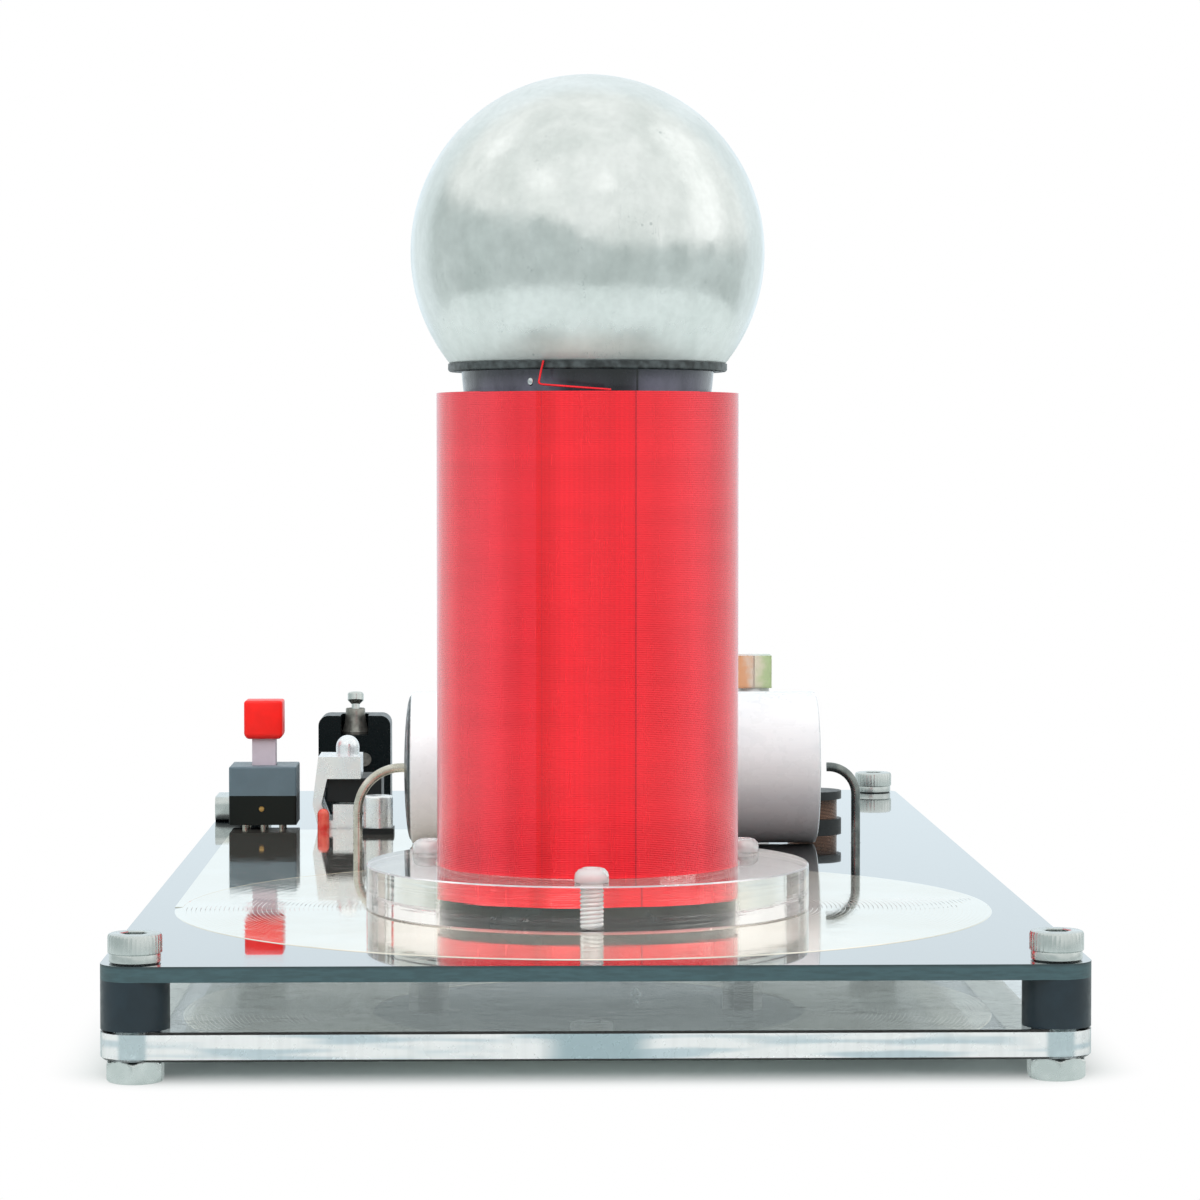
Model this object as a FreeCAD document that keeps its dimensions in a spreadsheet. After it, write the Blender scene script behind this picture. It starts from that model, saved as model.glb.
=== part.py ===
import FreeCAD, Part
import math
import os
import re

import Sketcher
from FreeCAD import Placement, Rotation, Vector

# Desktop resonant transformer: a red air-cored secondary coil with a hollow steel ball on top
# stands on a black circuit board, which a clear base plate carries on four black spacers.
# Z is up and Y runs away from the viewer. The origin lies under the middle of the board, on the
# surface that the four lower nuts stand on. Every length is in millimetres.

SIZES = (
    # Circuit board and clear base plate
    ("board_width", 100.0),
    ("board_length", 200.0),
    ("board_thickness", 1.6),
    ("plate_corner_radius", 3.5),
    ("base_thickness", 3.0),
    ("base_edge_bevel", 0.25),
    ("corner_inset", 3.5),
    # Spacers, cap screws and nuts at the four corners
    ("spacer_height", 5.0),
    ("spacer_diameter", 7.0),
    ("screw_diameter", 3.0),
    ("screw_clearance", 0.1),
    ("thread_clearance", 0.03),
    ("screw_head_diameter", 5.5),
    ("screw_head_height", 3.0),
    ("screw_head_bevel", 0.3),
    ("screw_groove_level", 1.0),
    ("screw_groove_width", 0.25),
    ("screw_groove_depth", 0.2),
    ("screw_socket_width", 2.5),
    ("screw_socket_depth", 1.3),
    ("nut_width", 5.5),
    ("nut_height", 2.4),
    # Flat spiral on each face of the board, and the copper area beside it
    ("coil_front_inset", 50.0),
    ("spiral_outer_radius", 45.5),
    ("spiral_inner_radius", 23.9),
    ("trace_width", 0.62),
    ("copper_thickness", 0.07),
    ("pour_left_inset", 3.4),
    ("pour_right_x", -8.0),
    ("pour_rear_inset", 61.0),
    ("pour_gap", 0.2),
    # Clear clamp ring round the foot of the coil, with three clear screws
    ("ring_outer_radius", 25.0),
    ("ring_bore_radius", 17.2),
    ("ring_height", 5.0),
    ("ring_edge_radius", 0.4),
    ("ring_screw_circle", 21.0),
    ("ring_screw_radius", 1.0),
    ("ring_head_radius", 1.9),
    ("ring_head_height", 1.6),
    ("ring_head_rounding", 0.5),
    ("ring_slot_width", 0.5),
    ("ring_slot_depth", 0.6),
    ("ring_nut_width", 4.0),
    ("ring_nut_height", 1.6),
    ("ring_screw_overhang", 0.3),
    ("ring_screw_degrees", -90.0),
    # Coil form, winding and the two wire ends
    ("form_outer_radius", 16.75),
    ("form_inner_radius", 13.75),
    ("form_height", 58.0),
    ("winding_thickness", 0.25),
    ("winding_foot", 2.0),
    ("winding_head_margin", 0.2),
    ("wrap_gap", 0.02),
    ("wire_radius", 0.12),
    ("wire_bend", 0.16),
    ("wire_hole_radius", 0.3),
    ("wire_hole_level", 1.1),
    ("base_lead_radius", 11.6),
    ("base_lead_degrees", 60.0),
    ("top_lead_degrees", -109.5),
    # Plug, gasket and hollow ball
    ("plug_depth", 10.0),
    ("plug_clearance", 0.1),
    ("plug_foot_radius", 13.95),
    ("plug_neck_radius", 14.2),
    ("plug_taper_height", 2.4),
    ("plug_neck_height", 5.6),
    ("plug_bevel", 0.5),
    ("gasket_radius", 15.7),
    ("gasket_thickness", 0.9),
    ("gasket_rounding", 0.3),
    ("ball_radius", 19.9),
    ("ball_wall", 0.5),
    ("ball_center_rise", 12.5),
    # Film capacitor lying across the board behind the coil
    ("capacitor_radius", 10.0),
    ("capacitor_length", 54.0),
    ("capacitor_center_x", 5.25),
    ("capacitor_rear_inset", 80.0),
    ("capacitor_edge_radius", 0.4),
    ("capacitor_end_radius", 9.3),
    ("capacitor_end_thickness", 0.7),
    ("capacitor_end_rounding", 0.5),
    ("capacitor_lead_radius", 0.6),
    ("capacitor_left_reach", 7.05),
    ("capacitor_left_bend", 5.8),
    ("capacitor_right_reach", 4.55),
    ("capacitor_right_bend", 3.6),
    ("lead_clearance", 0.1),
    # Latching push switch with a square red cap
    ("switch_left_inset", 7.4),
    ("switch_rear_inset", 55.6),
    ("switch_width", 9.2),
    ("switch_depth", 8.8),
    ("switch_top", 8.6),
    ("switch_parting", 4.6),
    ("switch_standoff", 0.6),
    ("switch_edge_radius", 0.25),
    ("switch_floor", 1.0),
    ("switch_well_width", 3.6),
    ("switch_roof", 1.2),
    ("switch_chamber_width", 5.0),
    ("switch_stem_width", 3.2),
    ("switch_stem_show", 3.6),
    ("switch_stem_clearance", 0.1),
    ("switch_foot_height", 0.9),
    ("switch_foot_width", 4.6),
    ("switch_foot_gap", 0.05),
    ("switch_cap_width", 5.3),
    ("switch_cap_height", 5.3),
    ("switch_cap_rounding", 0.45),
    ("switch_cap_socket_depth", 2.5),
    ("switch_cap_clearance", 0.02),
    ("switch_pin_radius", 0.35),
    ("switch_pin_pitch", 2.5),
    ("switch_pin_row", 6.2),
    ("spring_radius", 1.15),
    ("spring_wire_radius", 0.15),
    # Power transistor under its aluminium heat sink
    ("sink_left_inset", 15.0),
    ("sink_width", 5.8),
    ("sink_rear_inset", 60.0),
    ("sink_depth", 9.0),
    ("sink_top", 9.9),
    ("sink_bar_height", 3.0),
    ("sink_leg_thickness", 1.2),
    ("sink_leg_bulge", 0.8),
    ("sink_foot_thickness", 1.2),
    ("sink_lip_height", 3.4),
    ("sink_lip_thickness", 1.0),
    ("sink_lip_inset", 2.0),
    ("transistor_width", 7.4),
    ("transistor_length", 10.4),
    ("transistor_thickness", 3.3),
    ("transistor_edge_radius", 0.3),
    ("transistor_setback", 1.0),
    ("transistor_screw_offset", 3.85),
    ("transistor_screw_radius", 1.0),
    ("transistor_head_radius", 1.6),
    ("transistor_head_height", 1.1),
    ("transistor_nut_width", 4.0),
    ("transistor_nut_height", 1.6),
    ("transistor_leg_radius", 0.3),
    ("transistor_leg_reach", 1.6),
    ("transistor_leg_bend", 0.8),
    ("transistor_leg_pitch", 2.1),
    # Small red indicator lamp in front of the heat sink
    ("indicator_left_inset", 15.8),
    ("indicator_rear_inset", 62.4),
    ("indicator_radius", 0.8),
    ("indicator_height", 3.0),
    # Miniature toggle switch near the rear edge
    ("toggle_left_inset", 18.1),
    ("toggle_rear_inset", 15.0),
    ("toggle_width", 10.7),
    ("toggle_depth", 8.0),
    ("toggle_height", 12.5),
    ("toggle_shoulder_radius", 1.5),
    ("toggle_well_radius", 2.05),
    ("toggle_well_depth", 2.9),
    ("bushing_foot_radius", 1.95),
    ("bushing_mouth_radius", 1.6),
    ("bushing_height", 3.8),
    ("bushing_bore_radius", 1.0),
    ("bushing_throat_level", 2.5),
    ("bushing_flare_radius", 1.32),
    ("lever_pivot_level", 1.6),
    ("lever_ball_radius", 0.94),
    ("lever_shaft_radius", 0.6),
    ("lever_shaft_length", 2.8),
    ("lever_tip_radius", 1.2),
    ("lever_flare_length", 0.6),
    ("lever_tip_length", 1.2),
    ("lever_tip_rounding", 0.35),
    ("lever_lean_degrees", 12.5),
    ("rivet_radius", 1.0),
    ("rivet_thickness", 0.3),
    ("rivet_offset_x", 1.5),
    ("rivet_level", 6.0),
    ("toggle_pin_radius", 0.45),
    ("toggle_pin_pitch", 3.0),
    # Metal-shelled power socket at the left edge
    ("socket_rear_inset", 44.0),
    ("socket_depth", 7.3),
    ("socket_width", 9.0),
    ("socket_height", 3.4),
    ("socket_wall", 0.3),
    ("socket_back_wall", 1.0),
    ("socket_corner_radius", 1.1),
    ("tongue_width", 6.6),
    ("tongue_thickness", 0.7),
    ("tongue_setback", 1.0),
    # Drum-core inductor behind the capacitor's right end
    ("inductor_right_inset", 17.0),
    ("inductor_rear_inset", 56.0),
    ("inductor_radius", 4.0),
    ("inductor_height", 4.9),
    ("inductor_flange_thickness", 1.1),
    ("inductor_waist_radius", 2.5),
    ("inductor_winding_radius", 3.4),
    # Two-colour lamp on a tall white spacer
    ("lamp_right_inset", 24.1),
    ("lamp_rear_inset", 40.0),
    ("lamp_spacer_radius", 2.2),
    ("lamp_spacer_height", 18.2),
    ("lamp_lens_width", 4.8),
    ("lamp_lens_height", 4.6),
    ("lamp_lead_radius", 0.25),
    ("lamp_lead_spacing", 2.0),
    # Small can capacitor beside the capacitor's left lead
    ("can_left_inset", 23.4),
    ("can_rear_inset", 66.0),
    ("can_radius", 2.0),
    ("can_height", 4.3),
    ("can_rounding", 0.3),
    ("can_base_width", 4.3),
    ("can_base_thickness", 0.8),
    # Driver chip, resistors and bulk capacitor in the area that the coil hides
    ("chip_center_x", 6.0),
    ("chip_rear_inset", 46.0),
    ("chip_length", 9.4),
    ("chip_width", 6.4),
    ("chip_height", 3.3),
    ("chip_standoff", 0.6),
    ("chip_edge_radius", 0.25),
    ("chip_notch_radius", 0.9),
    ("chip_notch_depth", 0.3),
    ("chip_leg_width", 0.5),
    ("chip_leg_thickness", 0.3),
    ("chip_leg_shoulder", 2.0),
    ("chip_leg_pitch", 2.54),
    ("resistor_center_x", 5.0),
    ("resistor_rear_inset", 34.0),
    ("resistor_spacing", 6.0),
    ("resistor_radius", 1.15),
    ("resistor_length", 6.3),
    ("resistor_rounding", 0.4),
    ("resistor_span", 10.2),
    ("resistor_lead_radius", 0.25),
    ("resistor_lead_bend", 0.8),
    ("chip_resistor_length", 2.0),
    ("chip_resistor_width", 1.25),
    ("chip_resistor_height", 0.5),
    ("chip_resistor_first_x", -16.0),
    ("chip_resistor_rear_inset", 52.0),
    ("chip_resistor_spacing", 3.2),
    ("bulk_center_x", -11.0),
    ("bulk_rear_inset", 40.0),
    ("bulk_radius", 3.15),
    ("bulk_height", 7.2),
    ("bulk_rounding", 0.4),
    ("bulk_leg_radius", 0.25),
    ("bulk_leg_spacing", 2.5),
    # Solder cones under the board
    ("solder_height", 0.9),
    ("solder_pad_margin", 0.55),
    ("solder_tip_radius", 0.25),
    # One overrun for every cutting shape
    ("cut_overrun", 1.0),
)

COUNTS = (
    ("spiral_turns", 20),
    ("spring_turns", 5),
    ("chip_resistor_count", 6),
)

# Levels and places that follow from the sizes above. The coil keeps its distance from the front
# edge, and the parts behind it keep theirs from the rear edge and the nearer side edge.
LEVELS = (
    ("left_edge", "-board_width / 2"),
    ("right_edge", "board_width / 2"),
    ("front_edge", "-board_length / 2"),
    ("rear_edge", "board_length / 2"),
    ("coil_center_y", "front_edge + coil_front_inset"),
    ("pour_left_x", "left_edge + pour_left_inset"),
    ("pour_rear_y", "rear_edge - pour_rear_inset"),
    ("capacitor_center_y", "rear_edge - capacitor_rear_inset"),
    ("capacitor_left_x", "capacitor_center_x - capacitor_length / 2 - capacitor_left_reach"),
    ("capacitor_right_x", "capacitor_center_x + capacitor_length / 2 + capacitor_right_reach"),
    ("switch_center_x", "left_edge + switch_left_inset"),
    ("switch_center_y", "rear_edge - switch_rear_inset"),
    ("sink_left_x", "left_edge + sink_left_inset"),
    ("sink_right_x", "sink_left_x + sink_width"),
    ("sink_front_y", "rear_edge - sink_rear_inset"),
    ("transistor_screw_x", "sink_left_x + transistor_screw_offset"),
    ("indicator_x", "left_edge + indicator_left_inset"),
    ("indicator_y", "rear_edge - indicator_rear_inset"),
    ("toggle_center_x", "left_edge + toggle_left_inset"),
    ("toggle_front_y", "rear_edge - toggle_rear_inset"),
    ("socket_center_y", "rear_edge - socket_rear_inset"),
    ("inductor_center_x", "right_edge - inductor_right_inset"),
    ("inductor_center_y", "rear_edge - inductor_rear_inset"),
    ("lamp_center_x", "right_edge - lamp_right_inset"),
    ("lamp_center_y", "rear_edge - lamp_rear_inset"),
    ("can_center_x", "left_edge + can_left_inset"),
    ("can_center_y", "rear_edge - can_rear_inset"),
    ("chip_center_y", "rear_edge - chip_rear_inset"),
    ("resistor_first_y", "rear_edge - resistor_rear_inset"),
    ("chip_resistor_y", "rear_edge - chip_resistor_rear_inset"),
    ("bulk_center_y", "rear_edge - bulk_rear_inset"),
    ("base_top", "nut_height + base_thickness"),
    ("board_bottom", "nut_height + base_thickness + spacer_height"),
    ("board_top", "nut_height + base_thickness + spacer_height + board_thickness"),
    ("corner_x", "right_edge - corner_inset"),
    ("corner_y", "rear_edge - corner_inset"),
    ("pour_top", "board_top + copper_thickness"),
    ("ring_top", "board_top + copper_thickness + ring_height"),
    ("winding_bottom", "board_top + winding_foot"),
    ("form_top", "board_top + form_height"),
    ("winding_top", "board_top + form_height - winding_head_margin"),
    ("gasket_bottom", "form_top + plug_taper_height"),
    ("gasket_top", "gasket_bottom + gasket_thickness"),
    ("ball_center_z", "gasket_top + ball_center_rise"),
    ("capacitor_axis_z", "pour_top + capacitor_radius"),
    ("foot_top", "board_top + switch_top - switch_roof - switch_foot_gap"),
    ("sink_underside", "board_top + sink_top - sink_bar_height"),
    ("transistor_x", "sink_left_x + sink_leg_thickness + transistor_width / 2"),
    ("transistor_front_y", "sink_front_y + transistor_setback"),
    ("transistor_bottom", "sink_underside - transistor_thickness"),
    ("toggle_center_y", "toggle_front_y + toggle_depth / 2"),
    ("bushing_bottom", "board_top + toggle_height - toggle_well_depth"),
    ("pivot_z", "bushing_bottom + lever_pivot_level"),
    ("lens_bottom", "board_top + lamp_spacer_height"),
    ("chip_bottom", "board_top + chip_standoff"),
    ("chip_leg_row", "chip_width / 2 + chip_leg_thickness / 2"),
)

os.makedirs("parts", exist_ok=True)
doc = FreeCAD.newDocument("resonant_transformer")
sheet = doc.addObject("Spreadsheet::Sheet", "sizes")
levels = doc.addObject("App::VarSet", "levels")
HOLDERS = {}
NODES = {}
LEAD_HOLES = []
ALIKE = 1e-4


def formula(text):
    """The text with each named size led by the sheet or set that holds it."""
    return re.sub(r"[a-z]+(?:_[a-z]+)+", lambda word: HOLDERS[word.group()] + word.group(), text)


def mm(name):
    """The present value of a named size, count or level."""
    holder = sheet if HOLDERS[name] == "sizes." else levels
    return float(getattr(holder, name))


def fill_sheet():
    """One row for each size and count, then one property for each level."""
    for row, (name, value) in enumerate(SIZES + COUNTS, 1):
        sheet.set(f"A{row}", name.replace("_", " "))
        sheet.set(f"B{row}", str(value))
        sheet.setAlias(f"B{row}", name)
        HOLDERS[name] = "sizes."
    doc.recompute()
    for name, text in LEVELS:
        levels.addProperty("App::PropertyFloat", name, "levels")
        levels.setExpression(name, formula(text))
        HOLDERS[name] = "levels."
    doc.recompute()


def bind(piece, **formulas):
    """Ties properties of a piece to formulas of the named sizes."""
    for name, text in formulas.items():
        piece.setExpression(name, formula(text))
    return piece


def place(piece, at, turn=None):
    """Puts a piece at three formulas, turned about an axis first if one is given."""
    if turn:
        piece.Placement = Placement(Vector(), Rotation(*turn))
    for axis, text in zip("xyz", at):
        piece.setExpression("Placement.Base." + axis, formula(text))
    return piece


def cylinder(name, radius, height, at, turn=None):
    piece = doc.addObject("Part::Cylinder", name)
    return place(bind(piece, Radius=radius, Height=height), at, turn)


def cone(name, foot_radius, top_radius, height, at):
    piece = doc.addObject("Part::Cone", name)
    return place(bind(piece, Radius1=foot_radius, Radius2=top_radius, Height=height), at)


def ball(name, radius, at):
    return place(bind(doc.addObject("Part::Sphere", name), Radius=radius), at)


def hexagon(name, width, height, at):
    """A hexagonal prism of the given width across its flats."""
    piece = doc.addObject("Part::Prism", name)
    piece.Polygon = 6
    return place(bind(piece, Circumradius=f"({width}) / 2 / cos(30 deg)", Height=height), at)


def block(name, size, at):
    """A box whose footprint is centred on the first two formulas and stands on the third."""
    piece = bind(doc.addObject("Part::Box", name), Length=size[0], Width=size[1], Height=size[2])
    corner = (f"({at[0]}) - ({size[0]}) / 2", f"({at[1]}) - ({size[1]}) / 2", at[2])
    return place(piece, corner)


def fuse(name, *pieces):
    piece = doc.addObject("Part::MultiFuse", name)
    piece.Shapes = list(pieces)
    return piece


def cut(name, base, *tools):
    piece = doc.addObject("Part::Cut", name)
    piece.Base = base
    piece.Tool = tools[0] if len(tools) == 1 else fuse(name + "_tools", *tools)
    return piece


def group(name, pieces):
    piece = doc.addObject("Part::Compound", name)
    piece.Links = list(pieces)
    return piece


def tube(name, outer, inner, height, at):
    """A round tube whose bore runs through both ends."""
    core_at = (at[0], at[1], f"{at[2]} - cut_overrun")
    core = cylinder(name + "_core", inner, f"{height} + 2 * cut_overrun", core_at)
    return cut(name + "_tube", cylinder(name + "_outside", outer, height, at), core)


def soften(name, base, radius, choose):
    """Rounds those edges of a piece that the given test picks."""
    doc.recompute()
    piece = doc.addObject("Part::Fillet", name)
    piece.Base = base
    edges = [n for n, edge in enumerate(base.Shape.Edges, 1) if choose(edge.BoundBox)]
    piece.Edges = [(n, mm(radius), mm(radius)) for n in edges]
    return piece


def at_height(level):
    """A test for edges that lie flat at one height."""
    return lambda box: box.ZLength < box.DiagonalLength * ALIKE and math.isclose(box.ZMin, level, rel_tol=ALIKE)


def upright(box):
    """A test for straight edges that run straight up."""
    return math.isclose(box.ZLength, box.DiagonalLength, rel_tol=ALIKE)


def at_corners(name, source):
    """The piece of one corner with its mirror images at the other three."""
    across = doc.addObject("Part::Mirroring", name + "_across")
    across.Source = source
    across.Normal = (1, 0, 0)
    front = group(name + "_pair", (source, across))
    behind = doc.addObject("Part::Mirroring", name + "_behind")
    behind.Source = front
    behind.Normal = (0, 1, 0)
    return group(name + "_all", (front, behind))


def node(name, piece):
    """Names a finished sub-part, which is written under that name."""
    piece.Label = name
    NODES[name] = piece
    return piece


def from_shape(name, shape):
    piece = doc.addObject("Part::Feature", name)
    piece.Shape = shape
    piece.Placement = Placement()
    return piece


def lead_hole(x, y, radius):
    """Notes a lead that passes the board, for its hole and its solder cone."""
    LEAD_HOLES.append((x, y, radius))


def route(points, bend):
    """A path of straight runs joined by tangent arcs of one radius."""
    edges, start = [], points[0]
    for before, corner, after in zip(points, points[1:], points[2:]):
        back, ahead = (before - corner).normalize(), (after - corner).normalize()
        half_angle = back.getAngle(ahead) / 2
        trim = bend / math.tan(half_angle)
        first, last = corner + back * trim, corner + ahead * trim
        toward = (back + ahead).normalize()
        middle = corner + toward * (bend / math.sin(half_angle) - bend)
        edges += [Part.LineSegment(start, first).toShape(), Part.Arc(first, middle, last).toShape()]
        start = last
    edges.append(Part.LineSegment(start, points[-1]).toShape())
    return Part.Wire(edges)


def bent_wire(points, bend, radius):
    """A round wire along a route, as one solid."""
    path = route(points, bend)
    ring = Part.Wire(Part.Circle(points[0], points[1] - points[0], radius).toShape())
    return path.makePipeShell([ring], True, False)


def arc_pair(start, start_way, end, end_way):
    """Two arcs that leave one point along a direction and reach another along a second one."""
    gap = end - start
    ways = start_way + end_way
    square, linear, rest = ways.dot(ways) - 4, -2 * gap.dot(ways), gap.dot(gap)
    reach = (-linear - math.sqrt(linear * linear - 4 * square * rest)) / (2 * square)
    corners = (start + start_way * reach, end - end_way * reach)
    joint = (corners[0] + corners[1]) / 2
    arcs = []
    for first, corner, last in ((start, corners[0], joint), (joint, corners[1], end)):
        half = (first + last) / 2
        turn = math.atan2((corner - half).Length, (first - half).Length)
        rise = (first - half).Length * math.tan(turn / 2)
        arcs.append(Part.Arc(first, half + (corner - half).normalize() * rise, last))
    return arcs


def coiled_wire(turns, radius, pitch, wire_radius):
    """A helical spring about Z, each quarter turn a pair of arcs, and its least gap to itself."""
    rise = pitch / 4

    def spot(quarter):
        angle = quarter * math.pi / 2
        way = Vector(-radius * math.sin(angle), radius * math.cos(angle), pitch / (2 * math.pi))
        return Vector(radius * math.cos(angle), radius * math.sin(angle), quarter * rise), way.normalize()

    arcs = []
    for quarter in range(int(turns) * 4):
        start, start_way = spot(quarter)
        end, end_way = spot(quarter + 1)
        arcs += arc_pair(start, start_way, end, end_way)
    start, way = spot(0)
    ring = Part.Wire(Part.Circle(start, way, wire_radius).toShape())
    solid = Part.Wire([arc.toShape() for arc in arcs]).makePipeShell([ring], True, False)
    return solid, least_gap(arcs, pitch) - 2 * wire_radius


def least_gap(arcs, pitch):
    """The least distance between the middle lines of neighbouring turns, measured on points."""
    points = []
    for arc in arcs:
        first, last = arc.FirstParameter, arc.LastParameter
        points += [arc.value(first + (last - first) * share / 4) for share in range(4)]
    least = math.inf
    apart = pitch * math.pi
    walked = [0.0]
    for here, there in zip(points, points[1:]):
        walked.append(walked[-1] + (there - here).Length)
    for index, point in enumerate(points):
        for other in range(index + 1, len(points)):
            if walked[other] - walked[index] > apart:
                least = min(least, (points[other] - point).Length)
    return least


fill_sheet()
BOARD_TOP = mm("board_top")
BOARD_BOTTOM = mm("board_bottom")
COIL_CENTER = Vector(0, mm("coil_center_y"), 0)
COIL_AT = ("0", "coil_center_y")


# Plates

def plate_body(name, thickness, level):
    """A plate with round corners and a screw hole in each, sketched and padded upwards."""
    body = doc.addObject("PartDesign::Body", name)
    flat = next(o for o in body.Origin.OriginFeatures if o.Role == "XY_Plane")

    def sketch(label):
        drawing = body.newObject("Sketcher::SketchObject", label)
        drawing.AttachmentSupport = [(flat, "")]
        drawing.MapMode = "FlatFace"
        return drawing

    def measure(drawing, label, text, *parts):
        index = drawing.addConstraint(Sketcher.Constraint(*parts))
        drawing.renameConstraint(index, label)
        drawing.setExpression("Constraints." + label, formula(text))

    outline = sketch(name + "_outline")
    half_width, half_length = mm("board_width") / 2, mm("board_length") / 2
    corners = [Vector(x * half_width, y * half_length, 0) for x, y in ((-1, -1), (1, -1), (1, 1), (-1, 1))]
    for start, end in zip(corners, corners[1:] + corners[:1]):
        outline.addGeometry(Part.LineSegment(start, end), False)
    for side in range(4):
        outline.addConstraint(Sketcher.Constraint("Coincident", side, 2, (side + 1) % 4, 1))
        outline.addConstraint(Sketcher.Constraint(("Horizontal", "Vertical")[side % 2], side))
    outline.addConstraint(Sketcher.Constraint("Symmetric", 0, 1, 2, 1, -1, 1))
    measure(outline, "width", "board_width", "DistanceX", 0, 1, 0, 2, 2 * half_width)
    measure(outline, "length", "board_length", "DistanceY", 1, 1, 1, 2, 2 * half_length)

    pad = body.newObject("PartDesign::Pad", name + "_pad")
    pad.Profile = outline
    bind(pad, Length=thickness)
    doc.recompute()
    rounding = body.newObject("PartDesign::Fillet", name + "_corners")
    rounding.Base = (pad, [f"Edge{n}" for n, e in enumerate(pad.Shape.Edges, 1) if upright(e.BoundBox)])
    bind(rounding, Radius="plate_corner_radius")
    doc.recompute()

    holes = sketch(name + "_holes")
    radius = mm("screw_diameter") / 2 + mm("screw_clearance")
    for index, (x, y) in enumerate(((-1, -1), (1, -1), (1, 1), (-1, 1))):
        place_x, place_y = x * mm("corner_x"), y * mm("corner_y")
        holes.addGeometry(Part.Circle(Vector(place_x, place_y, 0), Vector(0, 0, 1), radius), False)
        measure(holes, f"radius{index}", "screw_diameter / 2 + screw_clearance", "Radius", index, radius)
        measure(holes, f"across{index}", f"{x} * corner_x", "DistanceX", -1, 1, index, 3, place_x)
        measure(holes, f"along{index}", f"{y} * corner_y", "DistanceY", -1, 1, index, 3, place_y)
    doc.recompute()
    solid_volume = rounding.Shape.Volume
    pocket = body.newObject("PartDesign::Pocket", name + "_pocket")
    pocket.Profile = holes
    pocket.Type = "ThroughAll"
    pocket.Reversed = True
    doc.recompute()
    if pocket.Shape.Volume >= solid_volume:
        raise RuntimeError(name + ": the screw holes cut nothing")
    body.Tip = pocket
    return place(body, ("0", "0", level))


def make_base_plate():
    """Clear plate under everything, its long edges lightly bevelled."""
    body = plate_body("base_sheet", "base_thickness", "nut_height")
    pocket = body.Tip
    bevel = body.newObject("PartDesign::Chamfer", "base_edges")
    rims = []
    for n, edge in enumerate(pocket.Shape.Edges, 1):
        round_hole = edge.Curve.TypeId == "Part::GeomCircle" and edge.Closed
        if edge.BoundBox.ZLength < mm("base_edge_bevel") and not round_hole:
            rims.append(f"Edge{n}")
    bevel.Base = (pocket, rims)
    bind(bevel, Size="base_edge_bevel")
    body.Tip = bevel
    node("base_plate", body)


def make_circuit_board():
    """Board with a hole for every lead and clear screw that passes it."""
    body = plate_body("board_sheet", "board_thickness", "board_bottom")
    drills = []
    for index, (x, y, radius) in enumerate(LEAD_HOLES):
        at = (x, y, "board_bottom - cut_overrun")
        depth = "board_thickness + 2 * cut_overrun"
        drills.append(cylinder(f"lead_hole{index}", f"{radius} + lead_clearance", depth, at))
    for index, (x, y) in enumerate(ring_screw_places()):
        at = (x, y, "board_bottom - cut_overrun")
        depth = "board_thickness + 2 * cut_overrun"
        drills.append(cylinder(f"ring_hole{index}", "ring_screw_radius + screw_clearance", depth, at))
    node("circuit_board", cut("drilled_board", body, *drills))


# Corner spacers, screws and nuts

def make_corner_fasteners():
    corner = ("corner_x", "corner_y")
    spacer = tube("spacer", "spacer_diameter / 2", "screw_diameter / 2 + screw_clearance",
                  "spacer_height", (*corner, "base_top"))
    node("plate_spacers", at_corners("spacers", spacer))

    head = cylinder("screw_head_blank", "screw_head_diameter / 2", "screw_head_height", (*corner, "board_top"))
    head = soften("screw_head_crown", head, "screw_head_bevel", at_height(BOARD_TOP + mm("screw_head_height")))
    groove = tube("screw_groove", "screw_head_diameter / 2 + cut_overrun",
                  "screw_head_diameter / 2 - screw_groove_depth", "screw_groove_width",
                  (*corner, "board_top + screw_groove_level"))
    socket = hexagon("screw_socket", "screw_socket_width", "screw_socket_depth + cut_overrun",
                     (*corner, "board_top + screw_head_height - screw_socket_depth"))
    shank = cylinder("screw_shank", "screw_diameter / 2", "board_top", (*corner, "0"))
    screw = fuse("corner_screw", cut("screw_head", head, groove, socket), shank)
    node("corner_screws", at_corners("screws", screw))

    bore = cylinder("nut_bore", "screw_diameter / 2 + thread_clearance",
                    "nut_height + 2 * cut_overrun", (*corner, "-cut_overrun"))
    blank = hexagon("nut_blank", "nut_width", "nut_height", (*corner, "0"))
    node("corner_nuts", at_corners("nuts", cut("corner_nut", blank, bore)))


# Copper on the board

def spiral_shape(level):
    """A flat trace of half-turn arcs, wound outwards about the coil's axis, and its least gap."""
    width, turns = mm("trace_width"), int(mm("spiral_turns"))
    first = mm("spiral_inner_radius") + width / 2
    pitch = (mm("spiral_outer_radius") - width / 2 - first) / turns
    axis = COIL_CENTER + Vector(0, 0, level)
    arcs, start = [], axis + Vector(first, 0, 0)
    for half in range(2 * turns):
        side = 1 if half % 2 == 0 else -1
        across = 2 * first + (half + 0.5) * pitch
        end = start - Vector(side * across, 0, 0)
        middle = (start + end) / 2 + Vector(0, side * across / 2, 0)
        arcs.append(Part.Arc(start, middle, end))
        start = end
    foot = axis + Vector(first - width / 2, 0, 0)
    thick = Vector(0, 0, mm("copper_thickness"))
    wide = Vector(width, 0, 0)
    section = Part.makePolygon([foot, foot + wide, foot + wide + thick, foot + thick, foot])
    solid = Part.Wire([arc.toShape() for arc in arcs]).makePipeShell([section], True, False)
    return solid, least_gap(arcs, first) - width


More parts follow.
